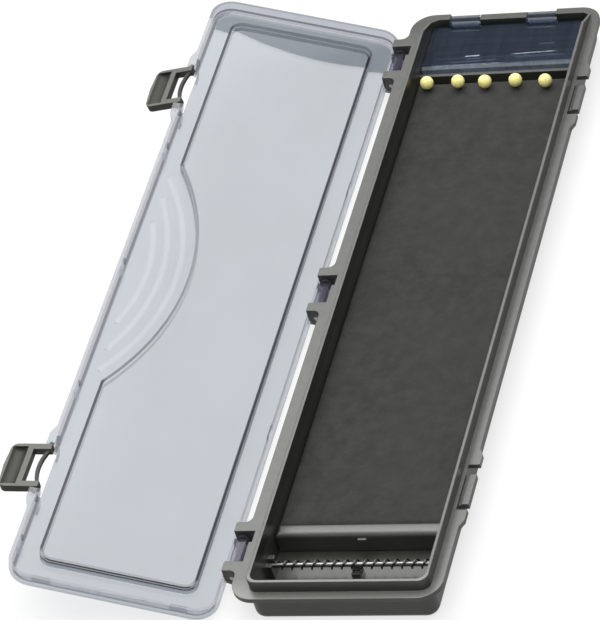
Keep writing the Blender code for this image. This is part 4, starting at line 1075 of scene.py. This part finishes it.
def make_camera():
    """A camera that sees the box as the photograph does."""
    azimuth = math.radians(CAMERA_AZIMUTH)
    elevation = math.radians(CAMERA_ELEVATION)
    right = Vector((math.cos(azimuth), math.sin(azimuth), 0.0))
    level = math.cos(elevation)
    back = Vector((math.sin(azimuth) * level, -math.cos(azimuth) * level, math.sin(elevation)))
    up = back.cross(right)
    turned = Matrix.Rotation(math.radians(CAMERA_ROLL), 3, "Z") @ Matrix((right, up, back))
    offset = Vector((-CAMERA_OFFSET_MM[0], -CAMERA_OFFSET_MM[1], CAMERA_DISTANCE_MM))
    place = turned.transposed() @ offset + Vector((0.0, 0.0, CAMERA_TARGET_HEIGHT_MM))
    data = bpy.data.cameras.new("camera")
    data.sensor_fit = "AUTO"
    data.sensor_width = SENSOR_MM
    data.lens = CAMERA_FOCAL_PX * SENSOR_MM / max(IMAGE_WIDTH, IMAGE_HEIGHT)
    data.clip_start, data.clip_end = CAMERA_CLIP
    made = put_in_scene("camera", data)
    made.matrix_world = Matrix.Translation(place / 1000) @ turned.transposed().to_4x4()
    bpy.context.scene.camera = made


def ray_kinds(tree):
    """Masks: rays that look straight at a thing or through glass, and mirrored rays."""
    path = tree.nodes.new("ShaderNodeLightPath").outputs
    return most(tree, path["Is Camera Ray"], path["Is Transmission Ray"]), path["Is Glossy Ray"]


def make_floor():
    """A plain pale floor that keeps a soft shadow."""
    data = bpy.data.meshes.new("floor")
    work = bmesh.new()
    bmesh.ops.create_grid(work, x_segments=1, y_segments=1, size=FLOOR_SIZE)
    work.to_mesh(data)
    work.free()
    floor = put_in_scene("floor", data)
    material, tree, surface = blank_material("studio_floor")
    clear, glossy = ray_kinds(tree)
    colour = blend_colour(tree, clear, FLOOR_BOUNCE_COLOUR, FLOOR_COLOUR)
    diffuse = add_node(tree, "ShaderNodeBsdfDiffuse", {"Color": colour}).outputs[0]
    glow = add_node(tree, "ShaderNodeEmission", {"Color": WHITE}).outputs[0]
    share = most(tree, times(tree, clear, FLOOR_GLOW_SHARE), times(tree, glossy, FLOOR_GLOSS_SHARE))
    feed(surface, mix_shaders(tree, share, diffuse, glow))
    data.materials.append(material)
    return floor


def make_room():
    """A white room with a low fill; its ceiling is dim where a shiny surface mirrors it."""
    world = bpy.data.worlds.new("studio")
    world.use_nodes = True
    tree = world.node_tree
    height = axes_of(tree, coordinates(tree, "Generated"))["Z"]
    clear, glossy = ray_kinds(tree)
    ceiling = spread(tree, height, 1.0, CEILING_GLOW, CEILING_FROM, CEILING_FULL)
    seen = most(tree, clear, times(tree, glossy, ceiling))
    unseen = minus(tree, 1.0, most(tree, clear, glossy))
    fill = spread(tree, height, SIDE_FILL, TOP_FILL, 0.0, 1.0)
    background = tree.nodes["Background"]
    feed(background.inputs["Color"], WHITE)
    feed(background.inputs["Strength"], plus(tree, seen, times(tree, unseen, fill)))
    bpy.context.scene.world = world


def hang_lamp(name, size, radiance, middle, axes):
    """A rectangular lamp of even brightness; axes are its across, rise and toward directions."""
    data = bpy.data.lights.new(name, "AREA")
    data.shape = "RECTANGLE"
    data.size, data.size_y = size
    data.energy = radiance * WATTS_A_RADIANCE * size[0] * size[1]
    lamp = put_in_scene(name, data)
    lamp.matrix_world = Matrix.Translation(middle) @ Matrix(axes).transposed().to_4x4()


def make_front_lamp():
    """A soft lamp high in front that lights the sides which face the camera."""
    middle = Vector(FRONT_LAMP_PLACE)
    toward = middle.normalized()
    across = Vector((-toward.y, toward.x, 0.0)).normalized()
    axes = (across, toward.cross(across), toward)
    hang_lamp("front_lamp", FRONT_LAMP_SIZE, FRONT_LAMP_RADIANCE, middle, axes)


def make_softbox():
    """A wide softbox behind and above, level along its lower edge."""
    edge = Vector(SOFTBOX_EDGE_PLACE)
    azimuth = math.radians(SOFTBOX_AZIMUTH)
    level = Vector((math.cos(azimuth), math.sin(azimuth), 0.0))
    across = Vector((-level.y, level.x, 0.0))
    slope = math.atan2(edge.z, edge.xy.length) + math.atan2(SOFTBOX_SIZE[1] / 2, edge.length)
    toward = level * math.cos(slope) + Vector((0.0, 0.0, math.sin(slope)))
    rise = toward.cross(across)
    middle = edge - across * edge.dot(across) + rise * SOFTBOX_SIZE[1] / 2
    hang_lamp("softbox", SOFTBOX_SIZE, SOFTBOX_RADIANCE, middle, (across, rise, toward))


bpy.context.scene.view_settings.view_transform = "Standard"
make_camera()
make_floor()
make_room()
make_softbox()
make_front_lamp()

# The tray's top colour is painted top light on its level tops; its collar's upright faces get painted shade.
OLIVE = moulded_plastic(
    "olive_tray_plastic", dark=(0.026, 0.028, 0.021), light=(0.037, 0.039, 0.031), edge=(0.12, 0.125, 0.11),
    roughness=(0.30, 0.36), shine=0.95, round_edge=0.0005, painted_top_light=(0.088, 0.091, 0.080),
)
LATCH_FINISH = {
    "body": moulded_plastic(
        "olive_latch_plastic", dark=(0.025, 0.026, 0.020), light=(0.034, 0.035, 0.027),
        edge=(0.17, 0.17, 0.15), roughness=(0.40, 0.48), shine=0.40,
    ),
    # The land is the same olive plastic painted lighter: painted top light.
    "land": moulded_plastic(
        "latch_land_painted_light", dark=(0.095, 0.097, 0.082), light=(0.118, 0.120, 0.104),
        edge=(0.19, 0.19, 0.17), roughness=(0.42, 0.50), shine=0.60,
    ),
}
RAIL = moulded_plastic(
    "olive_rail_plastic", dark=(0.014, 0.016, 0.011), light=(0.022, 0.024, 0.018), edge=(0.12, 0.12, 0.105),
    roughness=(0.40, 0.46), shine=1.0, skin=1.0,
)
SPRING = steel_material("blued_spring_wire", "X", (0.10, 0.10, 0.095), (0.17, 0.17, 0.165))
ROD = steel_material("drawn_steel_rod", "X", (0.26, 0.26, 0.25), (0.40, 0.40, 0.39))
HINGE_PIN = steel_material("drawn_steel_hinge_pin", "Y", (0.40, 0.40, 0.40), (0.52, 0.52, 0.52))
NEEDLE = steel_material("drawn_steel_needle", "Z", (0.48, 0.48, 0.48), (0.60, 0.60, 0.60))
BEAD = bead_material()

# Clear plastics: the tint looked through, the haze and its colour, how much is mirrored straight on and
# at a glance, the mirror's roughness, and the function that draws dark lines
SHEET_HAZE = (0.04, (0.7, 0.7, 0.75))
LID_FINISH = {
    "sheet": clear_plastic("lid_sheet", (0.54, 0.57, 0.60), *SHEET_HAZE, shade=lid_lines, bulge=True),
    "outside": clear_plastic("lid_outside", (0.60, 0.63, 0.66), *SHEET_HAZE, bulge=True),
    "far_step": clear_plastic("lid_far_step", (0.95, 0.955, 0.96), 0.02, (0.5, 0.5, 0.52), (0.01, 0.05)),
    "far_rim": clear_plastic(
        "lid_far_rim", (0.76, 0.775, 0.81), 0.08, (0.62, 0.63, 0.67), (0.03, 0.3), 0.05, rim_lines
    ),
    "step": clear_plastic("lid_step", (0.50, 0.51, 0.55), 0.06, (0.4, 0.4, 0.45), (0.03, 0.20)),
    "step_near": clear_plastic(
        "lid_near_step", (0.60, 0.62, 0.64), 0.06, (0.4, 0.4, 0.43), (0.03, 0.20), shade=near_step_line
    ),
    "bend": clear_plastic(
        "lid_bend", (0.76, 0.77, 0.80), 0.06, (0.75, 0.75, 0.78), (0.04, 0.4), 0.05, bend_lines
    ),
    "rim": clear_plastic(
        "lid_rim", (0.86, 0.865, 0.885), 0.08, (0.76, 0.76, 0.80), (0.04, 0.4), 0.05, rim_lines
    ),
    "pad": clear_plastic("lid_pad", (0.60, 0.61, 0.66), 0.10, (0.45, 0.46, 0.50), (0.03, 0.3), 0.05),
    # The ridges' pale haze is a painted highlight: soft light arcs along the crescent bite.
    "ridge": clear_plastic("lid_ridge", (0.60, 0.63, 0.66), 0.08, (0.80, 0.81, 0.83), (0.08, 0.8), 0.10),
    # The knuckles' darker tint is partly their thicker plastic and partly painted shade from the dark tray
    # side behind them.
    "knuckle": clear_plastic("lid_knuckle", (0.36, 0.35, 0.44), 0.10, (0.35, 0.34, 0.42), (0.04, 0.4), 0.05),
}
FLAP_FINISH = {
    "plate": clear_plastic(
        "smoked_flap", (0.36, 0.42, 0.52), 0.10, (0.13, 0.18, 0.27), (0.04, 0.6), 0.06, neck_shade,
        FLAP_WAVES, flap_streaks
    ),
    # The lip's paler tint and haze are a painted highlight along the flap's front edge.
    "lip": clear_plastic(
        "smoked_flap_lip", (0.44, 0.50, 0.60), 0.30, (0.50, 0.55, 0.62), (0.06, 0.6), 0.10, marks=flap_streaks
    ),
    "tab": clear_plastic("smoked_flap_tab", (0.52, 0.52, 0.56), 0.22, (0.30, 0.30, 0.34), (0.0, 0.03), 0.30),
    "tab_front": clear_plastic(
        "smoked_tab_front", (0.50, 0.54, 0.58), 0.16, (0.15, 0.17, 0.20), (0.0, 0.03), 0.30
    ),
}

dress("tray", "olive_tray", "tray", "tray_plastic", OLIVE, TRAY_EASE)
dress("cross_rail", "olive_rail", "tray", "rail_plastic", RAIL, TRAY_EASE)
wind_spring(SPRING)
PIN_FORM = pin_tree()
draw_pin(PIN_FORM, "spring_rod", "steel_rod", "tray", 0, NO_POINT, ROD)
for place in ("far", "mid", "near"):
    draw_pin(PIN_FORM, f"hinge_pin_{place}", f"steel_hinge_pin_{place}", "tray", 1, NO_POINT, HINGE_PIN)
dress_flap(FLAP_FINISH)
dress_lid(LID_FINISH)
for place in ("far", "near"):
    dress_latch(place, LATCH_FINISH)
BEAD_FORM = bead_tree()
for number in PIN_NUMBERS:
    turn_bead(BEAD_FORM, number, BEAD)
    draw_pin(
        PIN_FORM, f"pin_needle_{number}", f"steel_needle_{number}", f"pin_{number}", 2, NEEDLE_POINT, NEEDLE
    )
make_foam(foam_material())
